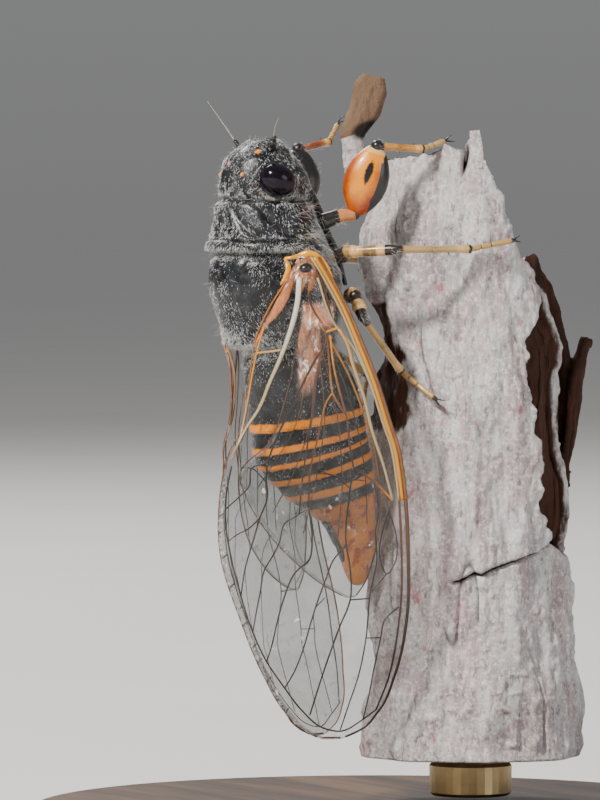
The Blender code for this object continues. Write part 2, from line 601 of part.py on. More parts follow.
def main():
    clear_scene()
    make_body()
    make_head_fittings()
    make_wings()
    make_legs()
    make_perch()
    make_stand()


main()
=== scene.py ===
"""Looks of a small black cicada that clings head-up to a broken branch stub on a display stand.

Places and sizes are in millimetres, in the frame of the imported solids, and become metres as meshes
are made. Z is up and headward, the back of the insect faces -Y and its right side is +X.
"""

import math

import bpy
import numpy as np
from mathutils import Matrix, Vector


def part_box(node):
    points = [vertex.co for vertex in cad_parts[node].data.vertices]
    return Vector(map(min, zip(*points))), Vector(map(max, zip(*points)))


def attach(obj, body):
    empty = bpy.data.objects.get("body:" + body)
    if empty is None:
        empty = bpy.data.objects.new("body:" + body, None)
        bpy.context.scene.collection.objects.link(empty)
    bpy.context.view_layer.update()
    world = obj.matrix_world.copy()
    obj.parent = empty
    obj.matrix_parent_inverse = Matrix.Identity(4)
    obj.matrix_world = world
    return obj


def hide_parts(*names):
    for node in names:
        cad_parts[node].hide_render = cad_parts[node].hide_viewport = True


MM = 0.001
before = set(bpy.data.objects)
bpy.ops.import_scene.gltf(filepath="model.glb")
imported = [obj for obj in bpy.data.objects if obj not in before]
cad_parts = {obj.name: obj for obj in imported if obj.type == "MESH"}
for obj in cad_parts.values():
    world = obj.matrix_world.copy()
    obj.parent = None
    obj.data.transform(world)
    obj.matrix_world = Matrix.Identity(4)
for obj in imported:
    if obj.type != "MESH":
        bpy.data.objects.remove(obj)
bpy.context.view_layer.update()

# The photograph's direction, in which places are read as across the view, +X and height
VIEW_TURN = math.radians(60)
ACROSS = np.array([math.cos(VIEW_TURN), math.sin(VIEW_TURN), 0.0])
TOWARD = np.array([math.sin(VIEW_TURN), -math.cos(VIEW_TURN), 0.0])
BODY_Y = -6.0
BODY_ORIGIN = np.array([0.0, BODY_Y, 0.0])

# Body rows from head to tail: height, offset toward the belly, half width, half depth, forward tilt
HEAD_ROWS = [
    (33.98, -0.44, 0.35, 0.30, 0), (33.81, -0.49, 0.90, 0.76, 0), (33.29, -0.64, 1.42, 1.34, 0),
    (32.72, -0.66, 1.76, 1.80, 0), (31.86, -0.56, 1.92, 2.12, 0), (31.40, -0.56, 1.95, 2.12, 0),
    (31.22, -0.54, 1.85, 2.00, 0), (31.07, -0.53, 1.80, 1.92, 0),
]
PRONOTUM_ROWS = [
    (30.92, -0.54, 2.10, 2.12, 0), (30.70, -0.52, 2.28, 2.28, 0), (29.96, -0.46, 2.52, 2.38, 0),
    (29.45, -0.43, 2.62, 2.50, 0), (29.20, -0.42, 2.70, 2.62, 0), (28.88, -0.41, 2.93, 2.76, 0),
    (28.68, -0.39, 2.90, 2.72, 0), (28.52, -0.28, 2.50, 2.48, 0),
]
THORAX_ROWS = [
    (28.38, -0.18, 2.62, 2.62, 0), (28.00, -0.05, 2.84, 2.98, 0), (27.49, 0.04, 2.90, 3.16, 0),
    (26.68, 0.10, 2.90, 3.16, 0), (25.73, 0.25, 2.76, 2.98, 0), (25.11, 0.38, 2.48, 2.82, 1),
    (24.60, 0.50, 2.22, 2.68, 2), (24.22, 0.62, 2.03, 2.56, 2), (24.05, 0.78, 1.80, 2.26, 2),
]
ABDOMEN_ROWS = [
    (23.90, 0.93, 1.86, 2.32, 3), (23.21, 1.20, 2.00, 2.60, 4), (21.60, 1.66, 2.24, 2.80, 7),
    (20.45, 1.90, 2.22, 2.88, 10), (19.53, 2.02, 2.20, 2.90, 13), (18.91, 2.26, 2.16, 2.82, 16),
    (18.17, 2.74, 2.03, 2.56, 17), (17.27, 3.22, 1.86, 2.18, 16), (16.01, 4.04, 1.34, 1.40, 12),
    (14.66, 4.53, 0.98, 1.04, 6), (13.23, 4.66, 0.58, 0.60, 2), (12.72, 4.66, 0.34, 0.34, 0),
    (12.60, 4.66, 0.10, 0.10, 0),
]
BODY_ROWS = HEAD_ROWS + PRONOTUM_ROWS + THORAX_ROWS + ABDOMEN_ROWS
PRONOTUM_START = len(HEAD_ROWS)
THORAX_START = PRONOTUM_START + len(PRONOTUM_ROWS)
ABDOMEN_START = THORAX_START + len(THORAX_ROWS)
BODY_RINGS, BODY_SIDES = 430, 200
SCUTELLUM_HEIGHT, SCUTELLUM_LEVEL, SCUTELLUM_SPREAD, SCUTELLUM_WIDTH = 0.22, 24.9, 0.6, 0.35

# Wings: distance down from the hinge, both edges across the view, and their places along X
WING_HINGE = 28.68
FORE_STATIONS = [0.3, 1.4, 2.6, 4.2, 6.2, 8.4, 9.3, 10.4, 12.2, 14.3, 17.5, 20.2, 22.0, 22.9, 23.3]
FORE_HIND_EDGE = [1.2, 0.65, -0.1, -0.8, -1.1, -1.45, -1.95, -2.3, -2.55, -2.5, -1.55, -0.45, 0.6, 1.5, 2.3]
FORE_COSTA = [2.1, 2.75, 3.4, 4.1, 4.9, 5.6, 5.9, 6.1, 6.3, 6.4, 6.35, 5.8, 5.0, 4.1, 3.2]
FORE_INNER_X = [3.5, 3.45, 2.95, 1.80, 1.08, 0.75, 0.62, 0.48, 0.38, 0.36, 0.38, 0.45, 0.6, 0.8, 0.95]
FORE_OUTER_X = [3.8, 4.15, 4.4, 4.65, 4.85, 4.95, 4.95, 4.95, 4.9, 4.7, 3.9, 3.0, 2.2, 1.7, 1.3]
HIND_STATIONS = [3.1, 4.2, 5.4, 7.2, 9.0, 10.4, 11.6, 13.2, 14.8, 15.9, 16.6]
HIND_HIND_EDGE = [1.45, 1.0, 0.7, 0.2, -0.6, -1.9, -1.6, -0.6, 0.9, 2.3, 3.6]
HIND_COSTA = [2.1, 2.9, 3.6, 4.4, 4.95, 5.25, 5.35, 5.3, 5.0, 4.6, 4.1]
# How far the left wings are tucked toward the body, at these distances down
LEFT_TUCK_LEVELS = [0.3, 1.4, 2.6, 4.2, 5.4, 7.2, 8.4, 10.4, 23.3]
LEFT_TUCK = [0.0, 0.15, 0.42, 0.38, 0.5, 0.3, 0.2, 0.5, 0.6]
WING_CAMBER = 1.32
CAMBER_START, CAMBER_END = 2.6, 19.0
WING_TIP = FORE_STATIONS[-1]
HIND_LAYER = 0.72
MEMBRANE_THICKNESS = 0.03
MEMBRANE_WRINKLE = 0.045
BORDER_WIDTH = 0.34


def smooth(stations, values, at):
    """A curve through the values at the stations, without the corners of straight runs."""
    stations, values = np.asarray(stations, float), np.asarray(values, float)
    slopes = np.gradient(values, stations)
    at = np.clip(at, stations[0], stations[-1])
    i = np.clip(np.searchsorted(stations, at, side="right") - 1, 0, len(stations) - 2)
    step = stations[i + 1] - stations[i]
    t = (at - stations[i]) / step
    return (
        (2 * t**3 - 3 * t**2 + 1) * values[i]
        + (t**3 - 2 * t**2 + t) * step * slopes[i]
        + (3 * t**2 - 2 * t**3) * values[i + 1]
        + (t**3 - t**2) * step * slopes[i + 1]
    )


def unit(vectors):
    return vectors / np.maximum(np.linalg.norm(vectors, axis=-1, keepdims=True), 1e-9)


def seen(place):
    """The point at this distance across the view, this X and this height."""
    across, x, height = place
    return np.array([x, BODY_Y + (across - ACROSS[0] * x) / ACROSS[1], height])


def ramp(low, high, at):
    """0 below low, 1 above high and a soft step between."""
    t = np.clip((at - low) / (high - low), 0, 1)
    return t * t * (3 - 2 * t)


def bump(centre, spread, at):
    return np.exp(-(((at - centre) / spread) ** 2))


LATTICE_PRIMES, SEED_PRIME = (73856093, 19349663, 83492791), 2654435761


def lattice(cells, seed):
    """A repeatable number from 0 to 1 for each cell of a lattice."""
    x, y, z = (cells[..., axis] * prime for axis, prime in enumerate(LATTICE_PRIMES))
    mixed = x ^ y ^ z ^ seed * SEED_PRIME
    mixed = (mixed ^ (mixed >> 13)) * 1274126177 & 0x7FFFFFFF
    return ((mixed ^ (mixed >> 16)) & 0xFFFFFF) / float(0xFFFFFF)


def noise(points, seed=1):
    """Smooth noise from -1 to 1."""
    base = np.floor(points).astype(np.int64)
    f = points - base
    f = f * f * (3 - 2 * f)
    total = np.zeros(points.shape[:-1])
    for corner in np.ndindex(2, 2, 2):
        weight = np.prod(np.where(np.array(corner) == 1, f, 1 - f), axis=-1)
        total += weight * lattice(base + np.array(corner), seed)
    return total * 2 - 1


def layered_noise(points, octaves, seed=1):
    total, size = np.zeros(points.shape[:-1]), 1.0
    for octave in range(octaves):
        total += size * noise(points * 2**octave, seed + octave)
        size /= 2
    return total


def blend(start, end, shares):
    return start + (end - start) * shares


def add_attribute(mesh, key, values):
    layer = mesh.attributes.new(key, "FLOAT", "POINT")
    layer.data.foreach_set("value", np.asarray(values, np.float32).ravel())


def new_object(name, data):
    obj = bpy.data.objects.new(name, data)
    bpy.context.scene.collection.objects.link(obj)
    return obj


def mesh_object(name, points, faces, attributes=None):
    """A smooth mesh from points in millimetres, with one named number per point for its material."""
    mesh = bpy.data.meshes.new(name)
    faces = faces.tolist() if isinstance(faces, np.ndarray) else faces
    mesh.from_pydata((np.asarray(points, float) * MM).tolist(), [], faces)
    for key, values in (attributes or {}).items():
        add_attribute(mesh, key, values)
    mesh.shade_smooth()
    return new_object(name, mesh)


def place_piece(obj, material, slot, *nodes):
    obj.data.materials.clear()
    obj.data.materials.append(material)
    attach(obj, "root")
    if nodes:
        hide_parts(*nodes)
    return obj


def grid_faces(rows, columns, wrap=False, start=0):
    """Quads of a grid whose points run along each row, closed round the row if wrap is set."""
    r, c = np.meshgrid(np.arange(rows - 1), np.arange(columns if wrap else columns - 1), indexing="ij")
    a = start + r * columns + c
    b = start + r * columns + (c + 1) % columns
    return np.stack([a, b, b + columns, a + columns], axis=-1).reshape(-1, 4)


def make_piece(name, part, material, slot, *nodes):
    """A piece from a part, which is a (points, faces, attributes) triple or its first two."""
    return place_piece(mesh_object(name, *part), material, slot, *nodes)


def corner_points(mesh):
    """The number of the point at each corner of each face."""
    corner = np.zeros(len(mesh.loops), np.int64)
    mesh.loops.foreach_get("vertex_index", corner)
    return corner


def vertex_vectors(mesh, key):
    values = np.zeros(len(mesh.vertices) * 3)
    mesh.vertices.foreach_get(key, values)
    return values.reshape(-1, 3)


def joined(parts):
    """One part from many."""
    keys = sorted({key for part in parts for key in part[2]})
    points, faces, attributes, start = [], [], {key: [] for key in keys}, 0
    for part_points, part_faces, part_attributes in parts:
        points.append(part_points)
        faces += [[start + int(v) for v in face] for face in part_faces]
        for key in keys:
            attributes[key].append(np.broadcast_to(part_attributes.get(key, 0.0), len(part_points)))
        start += len(part_points)
    return np.concatenate(points), faces, {key: np.concatenate(values) for key, values in attributes.items()}


def swept(spine, widths, depths=None, sides=10, facing=(0.3, 0.2, 1.0), **attributes):
    """A tube of oval rings along the spine, closed at both ends."""
    spine = np.asarray(spine, float)
    count = len(spine)
    widths = np.broadcast_to(np.asarray(widths, float), count)
    depths = widths if depths is None else np.broadcast_to(np.asarray(depths, float), count)
    along = unit(np.gradient(spine, axis=0))
    facing = np.broadcast_to(np.asarray(facing, float), spine.shape)
    across = unit(np.cross(along, facing))
    deep = unit(np.cross(across, along))
    turn = np.arange(sides) * 2 * math.pi / sides
    rings = (
        spine[:, None]
        + across[:, None] * (widths[:, None] * np.cos(turn))[..., None]
        + deep[:, None] * (depths[:, None] * np.sin(turn))[..., None]
    )
    points = np.concatenate([rings.reshape(-1, 3), spine[:1], spine[-1:]])
    faces = grid_faces(count, sides, wrap=True).tolist()
    ends = ((0, len(points) - 2, 1), ((count - 1) * sides, len(points) - 1, -1))
    for first, middle, way in ends:
        for k in range(sides):
            a, b = first + k, first + (k + 1) % sides
            faces.append([b, a, middle] if way > 0 else [a, b, middle])
    spread = {"along": np.concatenate([np.repeat(np.linspace(0, 1, count), sides), [0.0, 1.0]])}
    spread["around"] = np.concatenate([np.tile(np.sin(turn), count), [0.0, 0.0]])
    for key, values in attributes.items():
        if np.ndim(values):
            values = np.concatenate([np.repeat(values, sides), [values[0], values[-1]]])
        spread[key] = np.broadcast_to(values, len(points))
    return points, faces, spread


# Rings along the beak, the root plates and the shins
LINE_STEPS = 40


def curve_through(points, count):
    """Evenly spaced points on a smooth curve through the given ones."""
    points = np.asarray(points, float)
    steps = np.concatenate([[0], np.cumsum(np.linalg.norm(np.diff(points, axis=0), axis=1))])
    at = np.linspace(0, steps[-1], count)
    return np.stack([smooth(steps, points[:, c], at) for c in range(points.shape[1])], axis=-1)


def ball(centre, radii, across=24, rings=16, tilt=0.0, **attributes):
    """An oval ball, tilted about X."""
    turn = np.arange(across) * 2 * math.pi / across
    rise = np.linspace(0, math.pi, rings + 1)[1:-1]
    points = np.stack([
        np.outer(np.sin(rise), np.cos(turn)),
        np.outer(np.sin(rise), np.sin(turn)),
        np.outer(np.cos(rise), np.ones(across)),
    ], axis=-1).reshape(-1, 3)
    points = np.concatenate([points, [[0, 0, 1], [0, 0, -1]]]) * np.asarray(radii)
    c, s = math.cos(tilt), math.sin(tilt)
    points = points @ np.array([[1, 0, 0], [0, c, s], [0, -s, c]]) + np.asarray(centre)
    count = rings - 1
    low = (count - 1) * across
    faces = grid_faces(count, across, wrap=True)[:, ::-1].tolist()
    for k in range(across):
        after = (k + 1) % across
        faces.append([k, after, count * across])
        faces.append([low + after, low + k, count * across + 1])
    return points, faces, {key: np.broadcast_to(v, len(points)) for key, v in attributes.items()}


class Nodes:
    """Short calls for building the nodes of a new material or world."""

    def __init__(self, name, kind="materials", shader="Principled BSDF"):
        self.block = getattr(bpy.data, kind).new(name)
        self.block.use_nodes = True
        self.tree = self.block.node_tree
        self.shader = self.tree.nodes[shader]

    def feed(self, socket, value):
        """Give a socket a number, a vector as a list, a colour as a tuple or another node's output."""
        if isinstance(value, tuple):
            socket.default_value = (*value, 1.0)
        elif isinstance(value, (int, float, list)):
            socket.default_value = value
        else:
            self.tree.links.new(value, socket)

    def node(self, kind, output, inputs=None, **settings):
        """One output of a new node."""
        made = self.tree.nodes.new("ShaderNode" + kind)
        for key, value in settings.items():
            setattr(made, key, value)
        for key, value in (inputs or {}).items():
            self.feed(made.inputs[key], value)
        return made.outputs[output]

    def attribute(self, name):
        return self.node("Attribute", "Fac", attribute_name=name)

    def mapped(self, size_mm, stretch=(1, 1, 1)):
        scale = [1 / (size_mm * MM * s) for s in stretch]
        return self.node("Mapping", "Vector", {"Vector": self.node("TexCoord", "Object"), "Scale": scale})

    def noise(self, size_mm, detail=3.0, stretch=(1, 1, 1), rough=0.6):
        """Noise with features of about this size, drawn out by the stretch along each axis."""
        inputs = {"Vector": self.mapped(size_mm, stretch), "Scale": 1.0, "Detail": detail, "Roughness": rough}
        return self.node("TexNoise", "Fac", inputs)

    def cells(self, size_mm):
        return self.node("TexVoronoi", "Distance", {"Vector": self.mapped(size_mm), "Scale": 1.0})

    def math(self, operation, a, b=0.0, clamp=False):
        return self.node("Math", 0, {0: a, 1: b}, operation=operation, use_clamp=clamp)

    def times(self, a, b):
        return self.math("MULTIPLY", a, b)

    def plus(self, a, b, clamp=False):
        return self.math("ADD", a, b, clamp)

    def most(self, a, b):
        return self.math("MAXIMUM", a, b)

    def step(self, value, low, high):
        """0 below low and 1 above high, or the other way round when low is the larger."""
        inputs = {"From Min": low, "From Max": high, "Value": value}
        return self.node("MapRange", "Result", inputs, interpolation_type="SMOOTHSTEP")

    def mix(self, share, a, b):
        return self.node("Mix", 2, {0: share, 6: a, 7: b}, data_type="RGBA")

    def scale(self, value, low, high):
        """The value's 0 to 1 drawn out to low to high."""
        return self.node("MapRange", "Result", {"To Min": low, "To Max": high, "Value": value})

    def finish(self, colour, roughness, relief=None, relief_mm=0.01, **settings):
        self.feed(self.shader.inputs["Base Color"], colour)
        self.feed(self.shader.inputs["Roughness"], roughness)
        if relief is not None:
            inputs = {"Strength": 1.0, "Distance": relief_mm * MM, "Height": relief}
            self.feed(self.shader.inputs["Normal"], self.node("Bump", "Normal", inputs))
        for key, value in settings.items():
            self.shader.inputs[key.replace("_", " ")].default_value = value
        return self.block


def cuticle_material():
    """Black cuticle with grey-blue patches that are partly bloom and partly a painted sheen, orange hind
    margins on the tergites and an orange tail.
    """
    n = Nodes("black_cuticle")
    segment, orange, gloss = n.attribute("segment"), n.attribute("orange"), n.attribute("gloss")
    wander = n.scale(n.noise(0.5, 4), -0.10, 0.10)
    place = n.plus(segment, wander)
    share = n.math("FRACT", place)
    banded = n.times(n.step(place, 2.3, 2.5), n.step(place, 8.02, 7.95))
    band = n.times(n.step(share, 0.60, 0.69), banded)
    tail = n.times(n.step(place, 7.35, 7.5), n.step(n.attribute("tail_mark"), 0.6, 0.45))
    spots = n.plus(orange, n.scale(n.noise(0.12, 3), -0.3, 0.3))
    marks = n.most(n.most(band, tail), n.step(spots, 0.40, 0.70))
    # Grey-blue patches over the black: partly bloom, partly a painted sheen
    bloom_and_sheen = n.step(n.noise(0.6, 5), 0.38, 0.72)
    black = n.mix(bloom_and_sheen, (0.003, 0.003, 0.004), (0.030, 0.034, 0.042))
    amber = n.mix(n.noise(0.35, 4), (0.72, 0.14, 0.0), (0.98, 0.38, 0.0))
    amber = n.mix(n.times(tail, n.step(n.noise(0.7, 3), 0.5, 0.62)), amber, (0.42, 0.06, 0.008))
    colour = n.mix(marks, black, amber)
    roughness = n.plus(n.times(gloss, -0.06), n.scale(n.noise(0.25, 3), 0.22, 0.42))
    relief = n.plus(n.noise(0.12, 4), n.times(n.cells(0.16), 0.5))
    return n.finish(colour, roughness, relief, 0.014, Specular_IOR_Level=0.45)


def hair_material(name, low, high):
    n = Nodes(name)
    return n.finish(n.mix(n.attribute("shade"), low, high), 0.35, Specular_IOR_Level=0.6)


def eye_material():
    n = Nodes("eye_gloss")
    facets = n.cells(0.05)
    tint = n.mix(n.step(n.noise(0.35, 2), 0.35, 0.7), (0.004, 0.002, 0.006), (0.018, 0.007, 0.022))
    tint = n.mix(n.step(facets, 0.35, 0.6), tint, (0.004, 0.002, 0.005))
    gloss = {"Specular_IOR_Level": 0.20, "Coat_Weight": 0.12, "Coat_Roughness": 0.05}
    return n.finish(tint, 0.16, facets, 0.0012, **gloss)


def sclerite_material():
    n = Nodes("orange_sclerite")
    tone = n.attribute("tone")
    warm = n.mix(n.noise(0.3, 4), (0.66, 0.19, 0.001), (0.88, 0.42, 0.02))
    salmon = n.mix(n.noise(0.2, 3), (0.62, 0.13, 0.03), (0.80, 0.34, 0.13))
    colour = n.mix(n.step(tone, 0.3, 0.7), warm, salmon)
    colour = n.mix(n.step(tone, 1.3, 1.7), colour, (0.012, 0.010, 0.012))
    return n.finish(colour, n.scale(n.noise(0.2), 0.18, 0.38), n.noise(0.1, 3), 0.01, Coat_Weight=0.3)


def membrane_material(name, tint, alpha, border_alpha):
    """Clear smoky membrane with greyish border folds, salmon pleats at its base that turn paler on their
    raised folds as a painted highlight, painted white glints and sparkles, and a wet sheen.
    """
    n = Nodes(name)
    border, base = n.attribute("border"), n.attribute("base")
    cloud = n.noise(1.2, 4)
    pleat = n.noise(0.16, 3, (1, 1, 3))
    colour = n.mix(n.step(cloud, 0.35, 0.75), tint, tuple(c * 1.6 for c in tint))
    speckle = n.step(n.noise(0.16, 4), 0.40, 0.62)
    colour = n.mix(border, colour, n.mix(speckle, (0.10, 0.10, 0.10), (0.42, 0.42, 0.41)))
    # The pleats' raised folds turn pale pink: a painted highlight
    colour = n.mix(base, colour, n.mix(n.step(pleat, 0.4, 0.6), (0.60, 0.13, 0.02), (0.78, 0.40, 0.22)))
    # Painted white glints on the pleats and sparse painted sparkles across the film, which also add to the
    # film's density
    glint = n.times(base, n.step(n.noise(0.22, 3, (1, 1, 2.2)), 0.56, 0.64))
    sparkle = n.step(n.noise(0.45, 3, (1, 1, 1.5)), 0.64, 0.68)
    sparkle = n.times(sparkle, n.step(n.noise(2.6, 2), 0.46, 0.60))
    glint = n.most(glint, sparkle)
    colour = n.mix(glint, colour, (0.95, 0.93, 0.90))
    hem = n.times(border, n.scale(speckle, border_alpha * 0.5, border_alpha))
    smoke = n.scale(cloud, alpha * 0.6, alpha * 1.4)
    smoke = n.times(smoke, n.scale(n.attribute("smoke"), 0.35, 1.0))
    density = n.plus(smoke, hem)
    density = n.plus(density, n.times(n.step(pleat, 0.66, 0.8), 0.05))
    density = n.plus(density, n.times(glint, 0.35))
    density = n.plus(density, n.times(base, 0.40), clamp=True)
    n.feed(n.shader.inputs["Alpha"], density)
    relief = n.plus(n.noise(0.30, 4), n.times(pleat, 0.6))
    return n.finish(colour, 0.12, relief, 0.03, Specular_IOR_Level=1.0, Coat_Weight=1.0)


def vein_material():
    """Veins from pale straw at tone 0 through orange to dark brown at tone 2."""
    n = Nodes("wing_vein")
    tone = n.plus(n.attribute("tone"), n.scale(n.noise(0.4, 3), -0.18, 0.18))
    straw = n.mix(n.step(tone, -0.5, -0.1), (0.62, 0.57, 0.46), (0.42, 0.33, 0.17))
    colour = n.mix(n.step(tone, 0.1, 0.7), straw, (0.68, 0.26, 0.006))
    colour = n.mix(n.step(tone, 1.0, 1.45), colour, (0.15, 0.05, 0.012))
    colour = n.mix(n.step(tone, 1.4, 1.9), colour, (0.018, 0.013, 0.011))
    side = n.step(n.math("ABSOLUTE", n.attribute("around")), 0.62, 0.30)
    colour = n.mix(n.times(side, 0.8), colour, (0.045, 0.016, 0.008))
    return n.finish(colour, 0.3, n.noise(0.1, 2), 0.008, Specular_IOR_Level=0.7)


def leg_material(name, ground, mark):
    """Leg cuticle: the ground colour, and black where the mark attribute is high."""
    n = Nodes(name)
    tone = n.attribute("tone")
    low, high = ground
    warm = n.plus(n.attribute("warm"), n.scale(n.noise(0.3, 4), -0.3, 0.3), clamp=True)
    colour = n.mix(warm, high, low)
    colour = n.mix(n.step(tone, 0.3, 0.7), colour, (0.72, 0.42, 0.16))
    mottle = n.plus(n.attribute("dark"), n.scale(n.noise(0.12, 4), -0.22, 0.22))
    colour = n.mix(n.step(mottle, 0.35, 0.6), colour, mark)
    return n.finish(colour, n.scale(n.noise(0.2), 0.2, 0.4), n.noise(0.08, 3), 0.012, Coat_Weight=0.25)


# Layers of the crust from the lowest up: the noise's low and high, the layer's weight, colour and noise
BARK_LAYERS = [
    (0.44, 0.62, 0.65, (0.47, 0.32, 0.34), (1.1, 5, (1, 1, 3))),
    (0.50, 0.66, 0.45, (0.27, 0.24, 0.24), (0.35, 5, (1, 1, 7), 0.6)),
    (0.56, 0.70, 0.5, (0.33, 0.34, 0.28), (1.5, 4, (1, 1, 3))),
    (0.50, 0.60, 0.6, (0.84, 0.83, 0.82), (0.20, 4, (1, 1, 1), 0.7)),
    (0.45, 0.38, 0.55, (0.13, 0.11, 0.11), (0.26, 5, (1, 1, 2.4), 0.75)),
    (0.60, 0.68, 0.6, (0.36, 0.08, 0.12), (0.8, 5, (1, 1, 1.8), 0.65)),
]


def bark_material():
    """Pale lichen bark with pink and crimson specks and grey streaks over dark brown wood, which beside the
    wing also stands for a painted shadow, and near-black painted shade in the cracks.
    """
    n = Nodes("lichen_bark")
    wood, crack, chip = n.attribute("wood"), n.attribute("crack"), n.attribute("chip")
    pale = n.step(n.noise(1.0, 6, (1, 1, 3), 0.7), 0.36, 0.62)
    colour = n.mix(pale, (0.44, 0.42, 0.42), (0.68, 0.66, 0.66))
    for low, high, weight, tint, look in BARK_LAYERS:
        colour = n.mix(n.times(n.step(n.noise(*look), low, high), weight), colour, tint)
    # Dark timber where the bark is off; in the strip beside the wing it is a painted shadow
    timber = n.mix(n.noise(0.4, 6, (1, 1, 9)), (0.012, 0.007, 0.006), (0.11, 0.045, 0.026))
    edge = n.scale(n.noise(0.4, 5, (1, 1, 4)), -0.45, 0.45)
    colour = n.mix(n.step(n.plus(wood, edge), 0.32, 0.68), colour, timber)
    brown = n.mix(n.noise(0.6, 4, (1, 1, 4)), (0.11, 0.06, 0.034), (0.28, 0.18, 0.115))
    chip = n.plus(chip, n.scale(n.noise(0.5, 4), -0.25, 0.25))
    colour = n.mix(n.step(chip, 0.4, 0.6), colour, brown)
    # Near-black painted shade in the cracks, the slot and the splits, and the painted shadow at the chip's
    # foot
    colour = n.mix(n.step(crack, 0.3, 0.8), colour, (0.02, 0.014, 0.012))
    relief = n.plus(n.noise(0.12, 5, rough=0.7), n.noise(0.3, 4, (1, 1, 4)))
    return n.finish(colour, n.scale(n.noise(0.3), 0.75, 0.95), relief, 0.10, Specular_IOR_Level=0.2)


def stand_material():
    n = Nodes("dark_walnut")
    grain = n.noise(3.5, 6, (8, 0.7, 0.7))
    fine = n.noise(0.5, 4, (12, 1, 1))
    colour = n.mix(n.step(grain, 0.38, 0.66), (0.055, 0.028, 0.014), (0.17, 0.09, 0.045))
    colour = n.mix(n.times(n.step(fine, 0.5, 0.7), 0.5), colour, (0.035, 0.018, 0.01))
    return n.finish(colour, n.scale(fine, 0.35, 0.5), fine, 0.02, Coat_Weight=0.2)


def rod_material():
    n = Nodes("aged_brass")
    colour = n.mix(n.noise(0.8, 5), (0.35, 0.25, 0.12), (0.55, 0.42, 0.22))
    roughness = n.scale(n.noise(0.5, 4, (1, 1, 6)), 0.28, 0.45)
    return n.finish(colour, roughness, n.noise(0.2, 3), 0.004, Metallic=1.0)


# The body

def body_row(index):
    """Height, offset, half width, half depth and tilt at a place along the body rows."""
    table = np.array(BODY_ROWS, float)
    order = np.arange(len(table))
    return [smooth(order, table[:, c], index) for c in range(table.shape[1])]


def back_angle(turn):
    """Degrees round from the middle of the back, up to 180 at the belly."""
    return np.abs((np.degrees(turn) + 90 + 180) % 360 - 180)


def groove(v, angle, start, end, depth, width):
    """A groove from start to end, each as share down the region and degrees from the middle of the back."""
    v0, a0, v1, a1 = start[0], start[1] / 90, end[0], end[1] / 90
    dv, da = v1 - v0, a1 - a0
    t = np.clip(((v - v0) * dv + (angle / 90 - a0) * da) / (dv * dv + da * da), 0, 1)
    away = np.hypot(v - v0 - t * dv, angle / 90 - a0 - t * da)
    return depth * np.exp(-((away / width) ** 2))


# Furrows of the regions, ridges where the depth is below 0: start and end, each as share down the region
# and degrees from the middle of the back, then depth and width
HEAD_FURROWS = [((0.25, 0), (0.8, 0), 0.10, 0.05), ((0.3, 12), (0.62, 38), 0.06, 0.05)]
PRONOTUM_SIDE_FURROWS = [((0.12, 14), (0.60, 52)), ((0.10, 48), (0.56, 88))]
PRONOTUM_FURROWS = [
    (*PRONOTUM_SIDE_FURROWS[0], 0.13, 0.045), (*PRONOTUM_SIDE_FURROWS[1], 0.12, 0.045),
    ((0.15, 0), (0.62, 0), 0.05, 0.04), ((0.30, 22), (0.52, 34), -0.06, 0.09),
]
THORAX_FURROWS = [
    ((0.04, 36), (0.52, 16), 0.05, 0.03), ((0.04, 62), (0.66, 46), 0.04, 0.03),
    ((0.64, 42), (0.80, 7), -0.16, 0.05), ((0.80, 7), (0.97, 34), -0.15, 0.05),
    ((0.78, 0), (0.84, 0), -0.10, 0.08),
]
PRONOTUM_ROWS_DOWN, THORAX_ROWS_DOWN = 6, 8


def furrowed(relief, v, angle, furrows):
    for furrow in furrows:
        relief = relief - groove(v, angle, *furrow)
    return relief


def head_relief(index, turn):
    v = index / PRONOTUM_START
    angle = back_angle(turn)
    ribs = 0.03 * np.sin(v * 60) * bump(150, 25, angle)
    relief = 0.16 * bump(0.5, 0.22, v) * bump(150, 30, angle) + ribs
    relief = furrowed(relief, v, angle, HEAD_FURROWS)
    return relief + 0.07 * bump(0.30, 0.05, v) * bump(50, 18, angle)


def pronotum_relief(index, turn):
    v = (index - PRONOTUM_START) / PRONOTUM_ROWS_DOWN
    relief = 0.03 * ramp(0.68, 0.78, v) - 0.07 * bump(0.68, 0.035, v)
    return furrowed(relief, v, back_angle(turn), PRONOTUM_FURROWS)


def thorax_relief(index, turn):
    v = (index - THORAX_START) / THORAX_ROWS_DOWN
    angle = back_angle(turn)
    relief = furrowed(0.0, v, angle, THORAX_FURROWS) - 0.10 * bump(0.72, 0.05, v) * bump(0, 16, angle)
    side_plates = np.sin(v * 26 + angle * 0.05) * bump(120, 28, angle)
    return relief + 0.05 * side_plates


def abdomen_relief(index, turn):
    place = index - ABDOMEN_START
    share = place - np.floor(place)
    margin = 0.10 * share**2 - 0.07 * bump(0.04, 0.05, share) - 0.03
    belly = ramp(125, 150, back_angle(turn))
    end = ramp(0, 0.3, place) * (1 - ramp(8.4, 9.5, place))
    return margin * (1 - 0.5 * belly) * end


def eye_centres():
    return {side: np.array(sum(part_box("eye_" + side), Vector()) / 2) / MM for side in ("left", "right")}


def eye_radii():
    low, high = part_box("eye_right")
    return np.array(high - low) / MM / 2


def from_eye(points, centre):
    """Distance of each point from an eye's centre, in the eye's radii."""
    return np.linalg.norm((points - centre) / eye_radii(), axis=-1)


